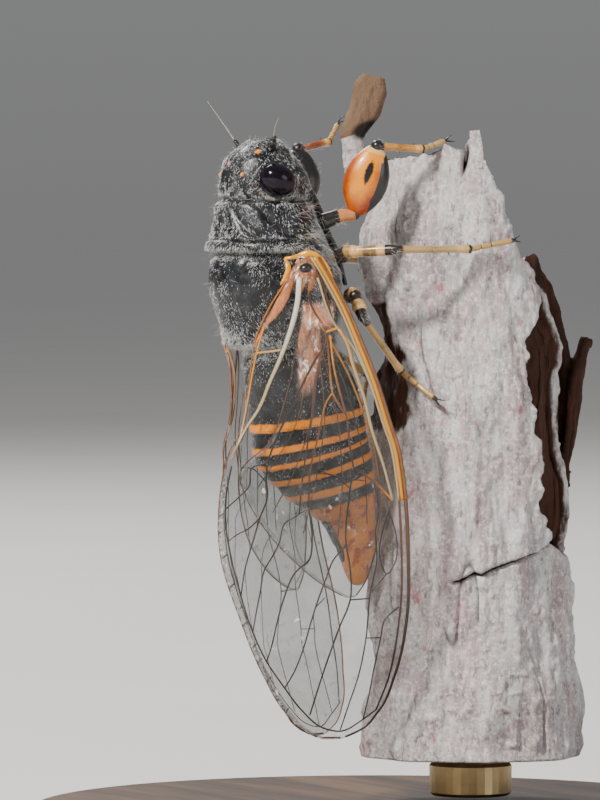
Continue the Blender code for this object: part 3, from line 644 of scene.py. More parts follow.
def body_surface(index, turn):
    """Points of the skin at places along the rows and round them."""
    height, offset, half_width, half_depth, tilt = body_row(index)
    relief = np.zeros(np.broadcast(index, turn).shape)
    for start, end, shape in (
        (-1, PRONOTUM_START - 0.5, head_relief),
        (PRONOTUM_START - 0.5, THORAX_START - 0.7, pronotum_relief),
        (THORAX_START - 0.7, ABDOMEN_START - 0.5, thorax_relief),
        (ABDOMEN_START - 0.5, 99, abdomen_relief),
    ):
        relief = np.where((index > start) & (index <= end), shape(index, turn), relief)
    lean = np.radians(tilt)
    lift = SCUTELLUM_HEIGHT * bump(SCUTELLUM_LEVEL, SCUTELLUM_SPREAD, height)
    size = np.minimum(1.0, half_width / 1.2)
    across = (half_width + relief * size) * np.cos(turn)
    deep = (half_depth + relief * size) * np.sin(turn)
    deep = np.where(deep < 0, deep - lift * bump(0, SCUTELLUM_WIDTH, across / half_width), deep)
    points = np.stack([across, BODY_Y + offset + deep * np.cos(lean), height + deep * np.sin(lean)], axis=-1)
    for centre in eye_centres().values():
        rim = 0.09 * bump(1.14, 0.10, from_eye(points, centre))
        points = points + unit(points - centre) * rim[..., None]
    grain = 0.012 * layered_noise(points / 0.35, 2, 7)
    middle = np.stack([np.zeros_like(across), points[..., 1] * 0 + BODY_Y + offset, points[..., 2]], axis=-1)
    return points + unit(points - middle) * grain[..., None]


# Orange spots outside the tergite bands: brow and pronotum corners, as across, X, height and spread
SKIN_SPOTS = ((-0.71, 1.10, 33.34, 0.20), (1.71, 1.71, 30.72, 0.26), (0.9, 2.0, 31.5, 0.16))
# A black spot on each side of the orange tail, as across, X and height
TAIL_SPOT = (3.0, 1.0, 15.1)


def skin_marks(points):
    """How orange a point of the skin is outside the tergite bands."""
    marks = np.zeros(len(points))
    for *place, spread in SKIN_SPOTS:
        for side in (1, -1):
            away = np.linalg.norm(points - seen(place) * np.array([side, 1, 1]), axis=-1)
            marks = np.maximum(marks, bump(0, spread, away))
    return marks


def skin_layout(body, index, turn):
    """The skin's unwrap: round the body across the map and down the rows along it."""
    mesh = body.data
    layout = mesh.uv_layers.new(name="OFBake")
    corner = corner_points(mesh)
    u = turn[corner] / (2 * math.pi)
    starts = np.zeros(len(mesh.polygons), np.int64)
    mesh.polygons.foreach_get("loop_start", starts)
    owner = np.searchsorted(starts, np.arange(len(corner)), side="right") - 1
    highest = np.maximum.reduceat(u, starts)[owner]
    u = np.where((highest - u) > 0.5, u + 1, u)
    v = index[corner] / (len(BODY_ROWS) - 1)
    layout.data.foreach_set("uv", np.stack([u * 0.99, v], axis=-1).astype(np.float32).ravel())


def make_body(material):
    index = np.linspace(0, len(BODY_ROWS) - 1, BODY_RINGS)[:, None]
    turn = (np.arange(BODY_SIDES) * 2 * math.pi / BODY_SIDES)[None, :]
    rings = body_surface(index + 0 * turn, turn + 0 * index)
    points = rings.reshape(-1, 3)
    index, turn = (index + 0 * turn).ravel(), (turn + 0 * rings[..., 0]).ravel()
    caps = np.stack([rings[0].mean(axis=0), rings[-1].mean(axis=0)])
    faces = grid_faces(BODY_RINGS, BODY_SIDES, wrap=True)[:, ::-1].tolist()
    last = (BODY_RINGS - 1) * BODY_SIDES
    for k in range(BODY_SIDES):
        after = (k + 1) % BODY_SIDES
        faces.append([k, after, len(points)])
        faces.append([last + after, last + k, len(points) + 1])
    points = np.concatenate([points, caps])
    index = np.concatenate([index, [0, len(BODY_ROWS) - 1]])
    turn = np.concatenate([turn, [0, 0]])
    segment = index - ABDOMEN_START
    tail_mark = bump(0, 26, back_angle(turn)) * ramp(7.95, 8.1, segment) * ramp(9.9, 9.3, segment)
    for spot in (seen(TAIL_SPOT), seen(TAIL_SPOT) * [-1, 1, 1]):
        tail_mark = np.maximum(tail_mark, bump(0, 0.42, np.linalg.norm(points - spot, axis=-1)))
    body = mesh_object("body", points, faces, {
        "segment": np.maximum(0, segment),
        "gloss": bump(THORAX_START + 2.5, 3.0, index),
        "orange": skin_marks(points),
        "tail_mark": tail_mark,
    })
    skin_layout(body, index, turn)
    return place_piece(body, material, "black_cuticle", "head", "pronotum", "thorax", "abdomen")


# Hair

HAIR_OFFSETS = np.array([[-1, -1], [1, -1], [0, -0.6], [-1, 0.5], [1, 0.5], [0, 0.3], [0, 1]]) * 0.0015
ROOT_DEPTH = 0.04
HAIR_FACES = [(0, 1, 4, 3), (1, 2, 5, 4), (2, 0, 3, 5), (3, 4, 6), (4, 5, 6), (5, 3, 6), (2, 1, 0)]


def make_hairs(name, material, slot, roots, normals, flow, length, width, rise, places, shade):
    """Bent, tapered hairs with three sides, each unwrapped as a small patch at its root's place."""
    flow = unit(flow - normals * np.sum(flow * normals, axis=-1, keepdims=True))
    side = unit(np.cross(flow, normals))
    length, width, rise = (np.broadcast_to(a, len(roots))[:, None] for a in (length, width, rise))
    middle = roots + unit(flow + normals * rise * 1.4) * length * 0.5
    tip = middle + unit(flow + normals * rise * 0.5) * length * 0.5
    half = width / 2
    corners = np.stack([
        roots - side * half, roots + side * half, roots + normals * width * 0.7,
        middle - side * half * 0.8, middle + side * half * 0.8, middle + normals * width * 0.5, tip,
    ], axis=1)
    corners[:, :3] -= normals[:, None] * ROOT_DEPTH
    count = len(HAIR_OFFSETS)
    start = np.arange(len(roots))[:, None] * count
    faces = []
    for face in HAIR_FACES:
        faces += (start + np.array(face)).tolist()
    hair = mesh_object(name, corners.reshape(-1, 3), faces, {"shade": np.repeat(shade, count)})
    layout = hair.data.uv_layers.new(name="OFBake")
    corner = corner_points(hair.data)
    uv = places[corner // count] + HAIR_OFFSETS[corner % count]
    layout.data.foreach_set("uv", uv.astype(np.float32).ravel())
    place_piece(hair, material, slot)


def scatter(rng, count, low, high, keep):
    """Roots on the skin between two rows, with their normals and places, thinned by the keep function."""
    index, turn = rng.uniform(low, high, count), rng.uniform(0, 2 * math.pi, count)
    points = body_surface(index, turn)
    chosen = rng.uniform(0, 1, count) < keep(index, turn, points)
    index, turn, points = index[chosen], turn[chosen], points[chosen]
    down = unit(body_surface(index + 0.03, turn) - points)
    round_it = unit(body_surface(index, turn + 0.03) - points)
    normals = unit(np.cross(round_it, down)) * -1
    outward = points - (BODY_ORIGIN + np.array([0, 1, 0]) * body_row(index)[1][:, None] + points * [0, 0, 1])
    normals *= np.sign(np.sum(normals * outward, axis=-1, keepdims=True))
    places = np.stack([turn / (2 * math.pi), index / (len(BODY_ROWS) - 1)], axis=-1)
    return index, turn, points, normals, down, round_it, places


def clear_of_eyes(points, margin=1.04):
    free = np.ones(len(points), bool)
    for centre in eye_centres().values():
        free &= from_eye(points, centre) > margin
    return free


def head_keep(index, turn, points):
    patch = 0.34 + 0.65 * noise(points / 0.20, 11) + 0.25 * noise(points / 0.9, 14)
    return np.where(clear_of_eyes(points), patch, 0)


def pronotum_keep(index, turn, points):
    v, angle = (index - PRONOTUM_START) / PRONOTUM_ROWS_DOWN, back_angle(turn)
    patch = 0.36 + 0.6 * noise(points / 0.20, 12) + 0.3 * noise(points / 0.8, 15)
    patch -= sum(groove(v, angle, *ends, 0.45, 0.06) for ends in PRONOTUM_SIDE_FURROWS)
    patch -= 0.5 * bump(0.66, 0.04, v)
    ring = bump(PRONOTUM_START + 5.4, 0.7, index) * bump(96, 14, angle) * 0.5
    patch = patch * (1 - 0.7 * ramp(92, 112, angle))
    return np.clip(patch + 0.3 * bump(PRONOTUM_START + 6.2, 0.4, index) + ring, 0.02, 1)


def thorax_keep(index, turn, points):
    v, angle = (index - THORAX_START) / THORAX_ROWS_DOWN, back_angle(turn)
    scutellum = bump(0.86, 0.13, v) * bump(0, 45, angle)
    margin = bump(0.0, 0.10, v) + bump(75, 14, angle) * 0.5
    patches = ramp(-0.30, 0.45, noise(points / [0.55, 0.55, 0.95], 13) + 0.5 * noise(points / 0.22, 16))
    patches *= 0.72 * (1 - 0.85 * bump(62, 9, angle)) * (1 - 0.6 * bump(0.56, 0.08, v) * bump(20, 22, angle))
    belly = ramp(95, 120, angle) * 0.2
    return np.clip(0.02 + patches + scutellum + margin * 0.3 + belly, 0, 1)


def scutellum_keep(index, turn, points):
    return bump(23.3, 1.7, index) * bump(0, 52, back_angle(turn)) * (0.65 + 0.35 * noise(points / 0.3, 18))


def abdomen_keep(index, turn, points):
    share = index - np.floor(index)
    strip = 0.7 * bump(0, 30, back_angle(turn)) * ramp(27.0, 25.5, index)
    patches = ramp(-0.3, 0.6, noise(points / 0.5, 19))
    return (0.35 + 0.4 * bump(0.25, 0.2, share)) * patches + strip + 0.2 * ramp(130, 160, back_angle(turn))


# Coats of short hair: tries, first and last row, where they stay, length, width, lift and the power that
# darkens their shade
HAIR_COATS = [
    ("hair_head", 17000, 0.5, 7.2, head_keep, 0.17, 0.026, 0.24, 1.2),
    ("hair_pronotum", 23000, 7.6, 15.2, pronotum_keep, 0.18, 0.025, 0.20, 1.2),
    ("hair_thorax", 30000, 15.4, 24.3, thorax_keep, 0.16, 0.022, 0.18, 1.2),
    ("hair_scutellum", 20000, 20.8, 25.8, scutellum_keep, 0.25, 0.024, 0.30, 0.5),
    ("hair_abdomen", 21000, 24.6, 35.0, abdomen_keep, 0.13, 0.022, 0.15, 0.5),
]


def make_hair(material):
    """Silvery hair lying back along the body, densest on the head, the pronotum and the scutellum."""
    rng = np.random.default_rng(5)
    for name, tries, low, high, keep, length, width, rise, power in HAIR_COATS:
        index, turn, points, normals, down, round_it, places = scatter(rng, tries, low, high, keep)
        count = len(points)
        swirl = noise(points / 0.9, 21)[:, None] * 1.1 + rng.normal(0, 0.35, (count, 1))
        size = length * rng.uniform(0.55, 1.25, count)
        side_long = ramp(95, 125, back_angle(turn)) * (index > PRONOTUM_START) * (index < ABDOMEN_START)
        size = size * (1 + 0.7 * side_long)
        lift = rise * rng.uniform(0.4, 1.6, count) + 0.3 * side_long
        thick = width * rng.uniform(0.7, 1.3, count)
        shade = rng.uniform(0, 1, count) ** power
        make_hairs(name, material, "black_cuticle", points, normals, down + round_it * swirl, size, thick,
                   lift, places, shade)


# Long hairs: tries, and the body rows that they grow between
LONG_HAIR_TRIES, LONG_HAIR_ROWS = 4200, (0.6, 24.0)
FRINGE_HAIRS = 330
# The fringe's places round the eye, in the eye's radii
FRINGE_REACH = (1.04, 1.30)


def make_eye_fringe(material, rng):
    """Short hairs that stand round the rim of each eye."""
    fringe = []
    for side, centre in eye_centres().items():
        turn = math.pi + rng.normal(0, 0.75, FRINGE_HAIRS)
        away = rng.uniform(*FRINGE_REACH, FRINGE_HAIRS)
        out, start = (1, 0.25) if side == "right" else (-1, 0.75)
        aside = np.full(FRINGE_HAIRS, 0.15 * out)
        ring = np.stack([aside, np.sin(turn) * away, np.cos(turn) * away], axis=-1)
        place = np.stack([turn / (4 * math.pi) + start, (away - FRINGE_REACH[0]) / 0.26], axis=-1)
        normals = np.full((FRINGE_HAIRS, 3), [out * 1.0, 0, 0])
        fringe.append((centre + ring * eye_radii(), unit(ring * [0, 1, 1]), normals, place))
    roots, outward, normals, places = (np.concatenate(part) for part in zip(*fringe))
    outward = outward + rng.normal(0, 0.18, outward.shape)
    count = len(roots)
    make_hairs("hair_eye_fringe", material, "black_cuticle", roots - normals * 0.2, unit(normals), outward,
               rng.uniform(0.14, 0.34, count), 0.014, rng.uniform(0.1, 0.6, count), places,
               rng.uniform(0.3, 1, count))


def make_long_hair(material):
    """Long pale hairs that stand out on the flanks and the brow."""
    rng = np.random.default_rng(9)

    def keep(index, turn, points):
        flank = bump(105, 22, back_angle(turn)) * (index > PRONOTUM_START) * (index < ABDOMEN_START - 1)
        brow = bump(1.5, 1.6, index) * 0.45
        outline = 0.07 * (index < ABDOMEN_START)
        return np.where(clear_of_eyes(points, 1.1), np.clip(flank + brow + outline, 0, 1), 0)

    index, turn, points, normals, down, _, places = scatter(rng, LONG_HAIR_TRIES, *LONG_HAIR_ROWS, keep)
    count = len(points)
    flow = down * 0.5 + rng.normal(0, 0.6, (count, 3))
    size = rng.uniform(0.30, 0.90, count) * (0.45 + 1.05 * (index > PRONOTUM_START))
    size = np.where((back_angle(turn) < 80) & (index > PRONOTUM_START), size * 0.5, size)
    make_hairs("hair_long", material, "black_cuticle", points, normals, flow, size, 0.013,
               rng.uniform(0.8, 2.2, count), places, rng.uniform(0.3, 1, count))
    make_eye_fringe(material, rng)


# The head's fittings

EYE_RADII, EYE_TILT = (0.80, 0.92, 0.74), math.radians(-24)
# Row and degrees round the head, -90 being the middle of the back
OCELLI = ((3.55, -56), (3.55, -124), (3.0, -90))


def make_eyes(material):
    for side, centre in eye_centres().items():
        part = ball(centre, EYE_RADII, 64, 40, EYE_TILT)[:2]
        make_piece("eye_gloss_" + side, part, material, "eye", "eye_" + side)


def make_ocelli(material):
    """Three small clear eyes on the crown."""
    parts = []
    for index, turn in OCELLI:
        point = body_surface(np.array([index]), np.array([math.radians(turn)]))[0]
        parts.append(ball(point, (0.12, 0.10, 0.11), 20, 12, tone=0.9))
    make_piece("ocelli", joined(parts), material, "amber_cuticle")


# Both ends of each feeler, as across the view, X and height
ANTENNA_ROOTS = {"left": (-1.60, -1.55, 33.55), "right": (0.02, 1.55, 33.75)}
ANTENNA_BOW = np.array([0.0, -0.05, 0.1])
ANTENNA_TIPS = {"left": (-3.14, -2.85, 35.76), "right": (0.29, 2.85, 34.90)}


def make_antennae(material):
    """A short stout base in two pieces, then a bristle that thins to its tip."""
    swelling = np.sin(np.linspace(0, 3.1, 8))
    shares = np.linspace(0, 1, 30)
    for side, place in ANTENNA_ROOTS.items():
        root, tip = seen(place), seen(ANTENNA_TIPS[side])
        along = unit(tip - root)
        line = root + (tip - root) * shares[:, None] + ANTENNA_BOW * (4 * shares * (1 - shares))[:, None]
        parts = []
        for start, end, width, extra in ((-0.35, 0.12, 0.13, 0.04), (0.10, 0.42, 0.085, 0.03)):
            base = np.linspace(root + along * start, root + along * end, 8)
            parts.append(swept(base, width + extra * swelling, sides=14, dark=1.0))
        thin = 0.042 * (1 - 0.72 * shares[4:]) * (1 + 0.12 * np.sin(shares[4:] * 40))
        parts.append(swept(line[4:], thin, sides=10, dark=0.0))
        make_piece("feeler_" + side, joined(parts), material, "black_cuticle", "antenna_" + side)


# The beak's middle line, as X, distance toward the belly and height
ROSTRUM_LINE = [(0.0, 1.75, 31.7), (0.0, 2.3, 30.9), (0.0, 2.82, 29.8), (0.0, 3.52, 28.4), (0.0, 3.98, 27.0)]


def make_rostrum(material):
    line = curve_through([(x, BODY_Y + y, z) for x, y, z in ROSTRUM_LINE], LINE_STEPS)
    shares = np.linspace(0, 1, LINE_STEPS)
    width = 0.30 - 0.17 * shares + 0.05 * bump(0.35, 0.05, shares) + 0.04 * bump(0.62, 0.04, shares)
    dark = 0.62 + 0.4 * ramp(0.3, 0.8, shares)
    part = swept(line, width, width * 0.8, sides=18, facing=(0, 1, 0.2), dark=dark, tone=0.0, warm=1.0)
    make_piece("beak", part, material, "amber_cuticle", "rostrum")


# The wings

SIDES = ((1, "right"), (-1, "left"))
FILM_TINT = (0.040, 0.042, 0.038)
# Rows and columns of the films' grids
FORE_GRID, HIND_GRID = (150, 64), (110, 48)
# Distances down over which the border's folds set in, by the layer of the forewing and the hindwing
HEM_LEVELS = {0.0: (9, 12), HIND_LAYER: (7, 10)}


def wing_surface(down, across, side, lift=0.0):
    """Points of the forewing's middle surface, lifted outward along its normal, on either side."""
    down, across = np.broadcast_arrays(np.asarray(down, float), np.asarray(across, float))

    def placed(down, across):
        level = np.clip(down, FORE_STATIONS[0], WING_TIP)
        low, high = smooth(FORE_STATIONS, FORE_HIND_EDGE, level), smooth(FORE_STATIONS, FORE_COSTA, level)
        u = (across - low) / (high - low)
        inner, outer = smooth(FORE_STATIONS, FORE_INNER_X, level), smooth(FORE_STATIONS, FORE_OUTER_X, level)
        x = inner + (outer - inner) * u
        fade = np.clip((WING_TIP - level) / (WING_TIP - CAMBER_END), 0, 1)
        rise = (1 - np.exp(-level / CAMBER_START)) * fade
        bulge = WING_CAMBER * rise * 4 * np.clip(u, 0, 1) * (1 - np.clip(u, 0, 1))
        y = (across - ACROSS[0] * x) / ACROSS[1]
        return np.stack([x + bulge * TOWARD[0], y + bulge * TOWARD[1], WING_HINGE - down], axis=-1)

    here = placed(down, across)
    normal = unit(np.cross(placed(down, across + 0.04) - here, placed(down - 0.04, across) - here))
    normal *= np.where(normal[..., :1] > 0, 1, -1)
    point = here + normal * np.asarray(lift)[..., None]
    tuck = smooth(LEFT_TUCK_LEVELS, LEFT_TUCK, down) * (1 if side < 0 else 0)
    return np.stack([side * point[..., 0], BODY_Y + point[..., 1] + tuck, point[..., 2]], axis=-1)


def membrane_base(layer, down, across):
    """Where the film is orange or salmon: the forewing's root and patch, the hindwing's pleated tongue."""
    if layer == 0:
        patch = ramp(1.25, 1.6, across) * ramp(3.0, 2.75, across)
        patch = patch * ramp(2.3, 2.7, down) * ramp(3.8, 3.4, down)
        return 0.8 * ramp(2.2, 0.8, down) + patch
    right = np.interp(down, [5.0, 6.9], [2.4, 1.6])
    tongue = ramp(3.1, 3.8, down) * ramp(7.4, 6.0, down) * ramp(0.8, 1.1, across)
    return tongue * ramp(right + 0.2, right - 0.2, across)


def make_membrane(name, side, outline, layer, material, node, rows, columns):
    """A thin wrinkled film, closed at its border."""
    stations, hind, costa = outline
    even = np.linspace(0, 1, rows)
    share = (1 - np.cos(even * math.pi)) / 2 * 0.6 + even * 0.4
    down = (stations[0] + share * (stations[-1] - stations[0]))[:, None]
    u = (1 - np.cos(np.linspace(0, math.pi, columns)))[None, :] / 2
    low, high = smooth(stations, hind, down), smooth(stations, costa, down)
    across = low + (high - low) * u
    down = down + 0 * across
    ends = np.minimum(down - stations[0], stations[-1] - down) * 2
    edge = np.minimum(np.minimum(across - low, high - across), ends)
    flat = np.stack([across, down, 0 * down], axis=-1)
    wrinkle = MEMBRANE_WRINKLE * layered_noise(flat / [0.55, 1.1, 1], 2, 31) * ramp(0, 0.25, edge)
    hem = 0.03 * np.sin(down * 14) * (1 - ramp(0, BORDER_WIDTH, across - low)) * ramp(9, 11, down)
    parts = []
    for lift in (MEMBRANE_THICKNESS / 2, -MEMBRANE_THICKNESS / 2):
        parts.append(wing_surface(down, across, side, wrinkle + hem + lift - layer).reshape(-1, 3))
    faces = grid_faces(rows, columns)
    count = rows * columns
    back = (faces + count)[:, ::-1]
    border = list(range(columns)) + [r * columns + columns - 1 for r in range(1, rows)]
    border += [(rows - 1) * columns + c for c in range(columns - 2, -1, -1)]
    border += [r * columns for r in range(rows - 2, 0, -1)]
    walls = [[a, a + count, b + count, b] for a, b in zip(border, border[1:] + border[:1])]
    faces = faces.tolist() + back.tolist() + walls
    if side < 0:
        faces = [face[::-1] for face in faces]
    hem_zone = 1 - ramp(BORDER_WIDTH * 0.6, BORDER_WIDTH, np.minimum(across - low, stations[-1] - down + 0.2))
    hem_zone = hem_zone * ramp(*HEM_LEVELS[layer], down)
    base = np.clip(membrane_base(layer, down, across), 0, 1)
    marks = {"border": hem_zone, "base": base, "smoke": ramp(8.5, 13.0, down)}
    marks = {key: np.tile(values.ravel(), 2) for key, values in marks.items()}
    make_piece(name, (np.concatenate(parts), faces, marks), material, "wing_membrane", node)


# Forewing veins as their radii and tones at both ends, then points across the view and down from the hinge
FORE_VEINS = {
    "radius": (0.075, 0.06, 0.1, 0.3, [(2.1, 1.3), (2.85, 3.4), (3.8, 4.6), (4.5, 6.1), (4.9, 7.2),
        (5.75, 9.7), (5.95, 11.6)]),
    "second": (0.11, 0.075, 0.45, 0.0, [(3.1, 3.7), (3.45, 4.3), (3.8, 5.5), (4.25, 6.8), (4.7, 8.6),
        (5.2, 10.1), (5.65, 11.8)]),
    "arch": (0.08, 0.08, 1.2, 0.8, [(2.5, 3.85), (2.75, 3.75), (3.1, 3.65)]),
    "cell": (0.055, 0.045, 1.0, 1.9, [(2.7, 4.0), (2.85, 5.35), (3.1, 6.5), (3.45, 7.75), (3.7, 9.7),
        (3.8, 10.2)]),
    "apex_1": (0.05, 0.04, 1.9, 2.0, [(3.8, 10.2), (3.6, 11.6), (3.45, 13.8), (3.65, 15.0), (3.65, 16.5),
        (3.15, 17.8), (2.65, 19.2), (2.2, 20.6), (1.75, 22.1)]),
    "to_node": (0.05, 0.06, 1.9, 1.0, [(3.8, 10.2), (4.75, 10.9), (5.65, 11.8)]),
    "costal_shade": (0.075, 0.05, 1.8, 1.6, [(1.95, 0.62), (2.28, 1.33), (2.5, 2.1), (2.71, 2.95),
        (2.88, 3.6)]),
    "median": (0.06, 0.05, 1.9, 1.2, [(1.75, 1.9), (1.75, 2.35), (2.5, 3.85), (2.6, 4.6), (2.75, 6.3),
        (2.8, 6.7)]),
    "median_hind": (0.05, 0.045, 1.2, 1.9, [(2.8, 6.7), (2.5, 7.2), (2.3, 8.0), (2.1, 8.9), (1.75, 10.4),
        (1.7, 12.1)]),
    "apex_2": (0.045, 0.035, 2.0, 2.0, [(1.7, 12.1), (1.85, 13.6), (1.75, 14.5), (1.05, 15.2), (0.5, 16.5),
        (0.2, 17.6), (-0.05, 18.7), (-0.3, 19.5)]),
    "median_fore": (0.05, 0.045, 1.2, 1.6, [(2.8, 6.7), (3.1, 7.25), (3.45, 7.75)]),
    "cubitus": (0.06, 0.05, 1.7, 2.0, [(2.5, 3.9), (2.5, 4.3), (2.1, 5.0), (1.6, 5.9), (0.9, 7.4),
        (0.15, 8.9), (-0.25, 10.0)]),
    "apex_3": (0.05, 0.035, 2.0, 2.0, [(-0.25, 10.0), (-0.3, 10.9), (-0.25, 11.6), (-0.6, 12.6),
        (-0.95, 13.8), (-1.3, 15.0), (-1.5, 16.3)]),
    "cubitus_hind": (0.05, 0.04, 1.5, 2.0, [(2.3, 4.7), (2.1, 5.6), (1.9, 7.5), (1.6, 9.4), (1.35, 11.2),
        (1.25, 12.4)]),
    "apex_4": (0.04, 0.035, 2.0, 2.0, [(1.25, 12.4), (0.55, 12.9), (0.3, 13.8), (0.0, 14.4), (-0.4, 15.1),
        (-0.6, 16.2), (-0.8, 17.2), (-0.95, 18.1)]),
    "branch_5": (0.04, 0.035, 2.0, 2.0, [(-0.25, 10.0), (-1.0, 10.3), (-1.1, 11.1), (-1.65, 11.7),
        (-2.2, 12.2)]),
    "branch_6": (0.035, 0.03, 2.0, 1.6, [(-0.6, 12.6), (-1.1, 13.1), (-1.8, 13.5), (-2.15, 13.8)]),
    "apex_7": (0.045, 0.035, 2.0, 2.0, [(4.75, 10.9), (5.0, 12.2), (4.85, 13.3), (4.9, 14.7), (4.6, 16.2),
        (4.4, 18.4), (4.05, 20.2), (3.6, 21.6), (3.2, 22.85)]),
    "apex_8": (0.04, 0.035, 2.0, 2.0, [(3.45, 13.9), (2.85, 14.6), (2.5, 15.5), (2.2, 16.3), (1.85, 17.4),
        (1.45, 18.8), (1.0, 20.0), (0.55, 20.8)]),
    "loop": (0.035, 0.035, 2.0, 2.0, [(5.6, 12.0), (5.15, 13.4), (5.05, 14.5), (5.4, 15.3), (5.8, 14.7),
        (5.85, 13.7), (5.5, 12.3)]),
    "loop_tail": (0.035, 0.035, 2.0, 2.0, [(5.35, 15.3), (4.7, 16.1)]),
    "apex_9": (0.045, 0.035, 2.0, 2.0, [(5.95, 16.9), (5.3, 17.5), (5.1, 18.4), (4.8, 19.8), (4.55, 21.2),
        (4.3, 22.3)]),
    "cross_1": (0.035, 0.035, 2.0, 2.0, [(4.4, 18.35), (5.1, 18.35)]),
    "cross_2": (0.045, 0.035, 2.0, 2.0, [(3.65, 16.5), (4.55, 16.45)]),
    "cross_3": (0.035, 0.035, 1.8, 2.0, [(1.7, 12.1), (1.25, 12.4)]),
    "cross_4": (0.035, 0.035, 2.0, 2.0, [(1.75, 10.5), (2.9, 10.6), (3.65, 11.2)]),
    "clavus": (0.16, 0.07, -0.7, 0.3, [(1.25, 1.3), (1.2, 2.2), (0.8, 3.9), (0.5, 4.75), (-0.2, 6.4),
        (-0.6, 7.4), (-1.3, 8.5), (-1.9, 9.7)]),
    "clavus_edge": (0.06, 0.05, 1.0, 0.1, [(-0.4, 3.6), (-0.72, 4.7), (-0.95, 5.8), (-1.2, 7.2),
        (-1.6, 9.0), (-1.95, 9.9)]),
    "clavus_cross": (0.06, 0.06, 0.4, 0.3, [(-0.72, 4.85), (0.4, 4.7)]),
    "subcosta_end": (0.07, 0.05, 1.5, 1.9, [(5.95, 11.6), (6.05, 13.4), (6.05, 16.9), (5.9, 18.2),
        (5.5, 20.3), (4.9, 21.9)]),
    "ambient": (0.05, 0.045, 2.0, 2.0, [(-1.95, 10.2), (-2.2, 11.6), (-2.2, 13.2), (-2.0, 14.4),
        (-1.5, 16.4), (-0.95, 18.1), (-0.3, 19.5), (0.5, 20.7), (1.4, 21.9), (2.3, 22.7), (3.3, 22.9),
        (4.2, 22.4), (4.9, 21.9)]),
}
HIND_VEINS = {
    "radius": (0.03, 0.03, 1.6, 1.9, [(2.4, 3.9), (3.2, 5.4), (4.1, 8.0), (4.6, 10.6), (4.7, 13.0)]),
    "median": (0.03, 0.03, 1.5, 1.9, [(2.2, 3.9), (2.6, 5.6), (3.2, 8.4), (3.4, 11.0), (3.2, 13.6)]),
    "cubitus": (0.03, 0.03, 1.3, 1.9, [(2.0, 3.6), (2.2, 5.4), (2.4, 8.2), (2.0, 11.0), (1.4, 13.4)]),
    "anal_1": (0.03, 0.025, 1.2, 1.9, [(1.8, 3.3), (1.8, 5.4), (1.6, 8.2), (0.8, 10.6), (-0.2, 12.4)]),
    "anal_2": (0.03, 0.025, 1.2, 1.9, [(1.6, 3.3), (1.4, 5.4), (0.9, 8.0), (-0.2, 10.0), (-1.0, 11.2)]),
    "cross": (0.03, 0.03, 1.9, 1.9, [(2.2, 10.4), (3.4, 10.8), (4.6, 10.9)]),
}
# Tubes side by side in the costal band: distance in from the edge, radius at both ends and tone
COSTAL_BAND = ((0.00, 0.13, 0.09, 1.35), (0.17, 0.15, 0.05, 0.75), (0.33, 0.09, 0.04, 0.2))
NODE_LEVEL = 11.8
COSTA_START, EDGE_END = 0.35, 23.2
VEIN_SIZE = 0.95
# Short folds that run from the ambient vein out to the margin, at these distances down
MARGIN_FOLDS = [11.4, 12.6, 13.4, 14.6, 16.0, 17.1, 17.8, 18.9, 19.6, 20.5, 21.3, 22.0]


def wing_line(down, across, side, layer):
    """Points of a line on the wing and the way out of the wing at each."""
    spine = wing_surface(down, across, side, -layer)
    return spine, wing_surface(down, across, side, 1 - layer) - spine


def vein_tubes(side, veins, layer):
    parts = []
    for name, (start_radius, end_radius, start_tone, end_tone, line) in veins.items():
        if side < 0 and "clavus" in name:
            start_radius, start_tone, end_tone = start_radius * 0.8, 1.1, 1.5
        if side < 0 and layer == 0 and line[-1][1] > 12:
            start_radius, end_radius = start_radius * 0.7, end_radius * 0.6
        path = curve_through(line, max(8, 6 * len(line)))
        shares = np.linspace(0, 1, len(path))
        radius = blend(start_radius, end_radius, shares)
        spine, outward = wing_line(path[:, 1], path[:, 0], side, layer)
        tone = blend(start_tone, end_tone, shares)
        parts.append(swept(spine, radius * VEIN_SIZE, radius * VEIN_SIZE * 0.7, 8, outward, tone=tone))
    return parts


def edge_tube(side, stations, edge, start, end, radii, tones, layer, inset=0.0):
    """A vein along an edge of the wing, set in from it."""
    down = np.linspace(start, end, 90)
    shares = np.linspace(0, 1, len(down))
    spine, outward = wing_line(down, smooth(stations, edge, down) - inset, side, layer)
    radius = blend(*radii, shares)
    return swept(spine, radius, radius * 0.85, 8, outward, tone=blend(*tones, shares))


def make_fore_veins(side, word, material):
    parts = vein_tubes(side, FORE_VEINS, 0.0)
    costa, hind = (FORE_STATIONS, FORE_COSTA), (FORE_STATIONS, FORE_HIND_EDGE)
    for inset, base_radius, end_radius, tone in COSTAL_BAND:
        band = (base_radius, (base_radius + end_radius) / 2)
        parts.append(edge_tube(side, *costa, COSTA_START, NODE_LEVEL, band, (tone, tone), 0.0, inset))
    distal, shades = ((0.10, 0.055), (1.6, 1.9)) if side > 0 else ((0.055, 0.03), (1.3, 1.3))
    parts.append(edge_tube(side, *costa, NODE_LEVEL, EDGE_END, distal, shades, 0.0))
    parts.append(edge_tube(side, *hind, 1.2, EDGE_END, (0.04, 0.03), (1.2, 1.7), 0.0))
    for level in MARGIN_FOLDS:
        upper = level - 0.25
        path = np.linspace(smooth(*hind, level) + 0.02, smooth(*hind, upper) + BORDER_WIDTH, 6)
        spine = wing_surface(np.linspace(level, upper, 6), path, side)
        parts.append(swept(spine, np.linspace(0.02, 0.035, 6), sides=6, facing=TOWARD, tone=1.9))
    tip = wing_surface(np.full(12, 23.22), np.linspace(2.3, 3.2, 12), side)
    parts.append(swept(tip, 0.035, sides=8, tone=1.7))
    make_piece("veins_fore_" + word, joined(parts), material, "wing_membrane")


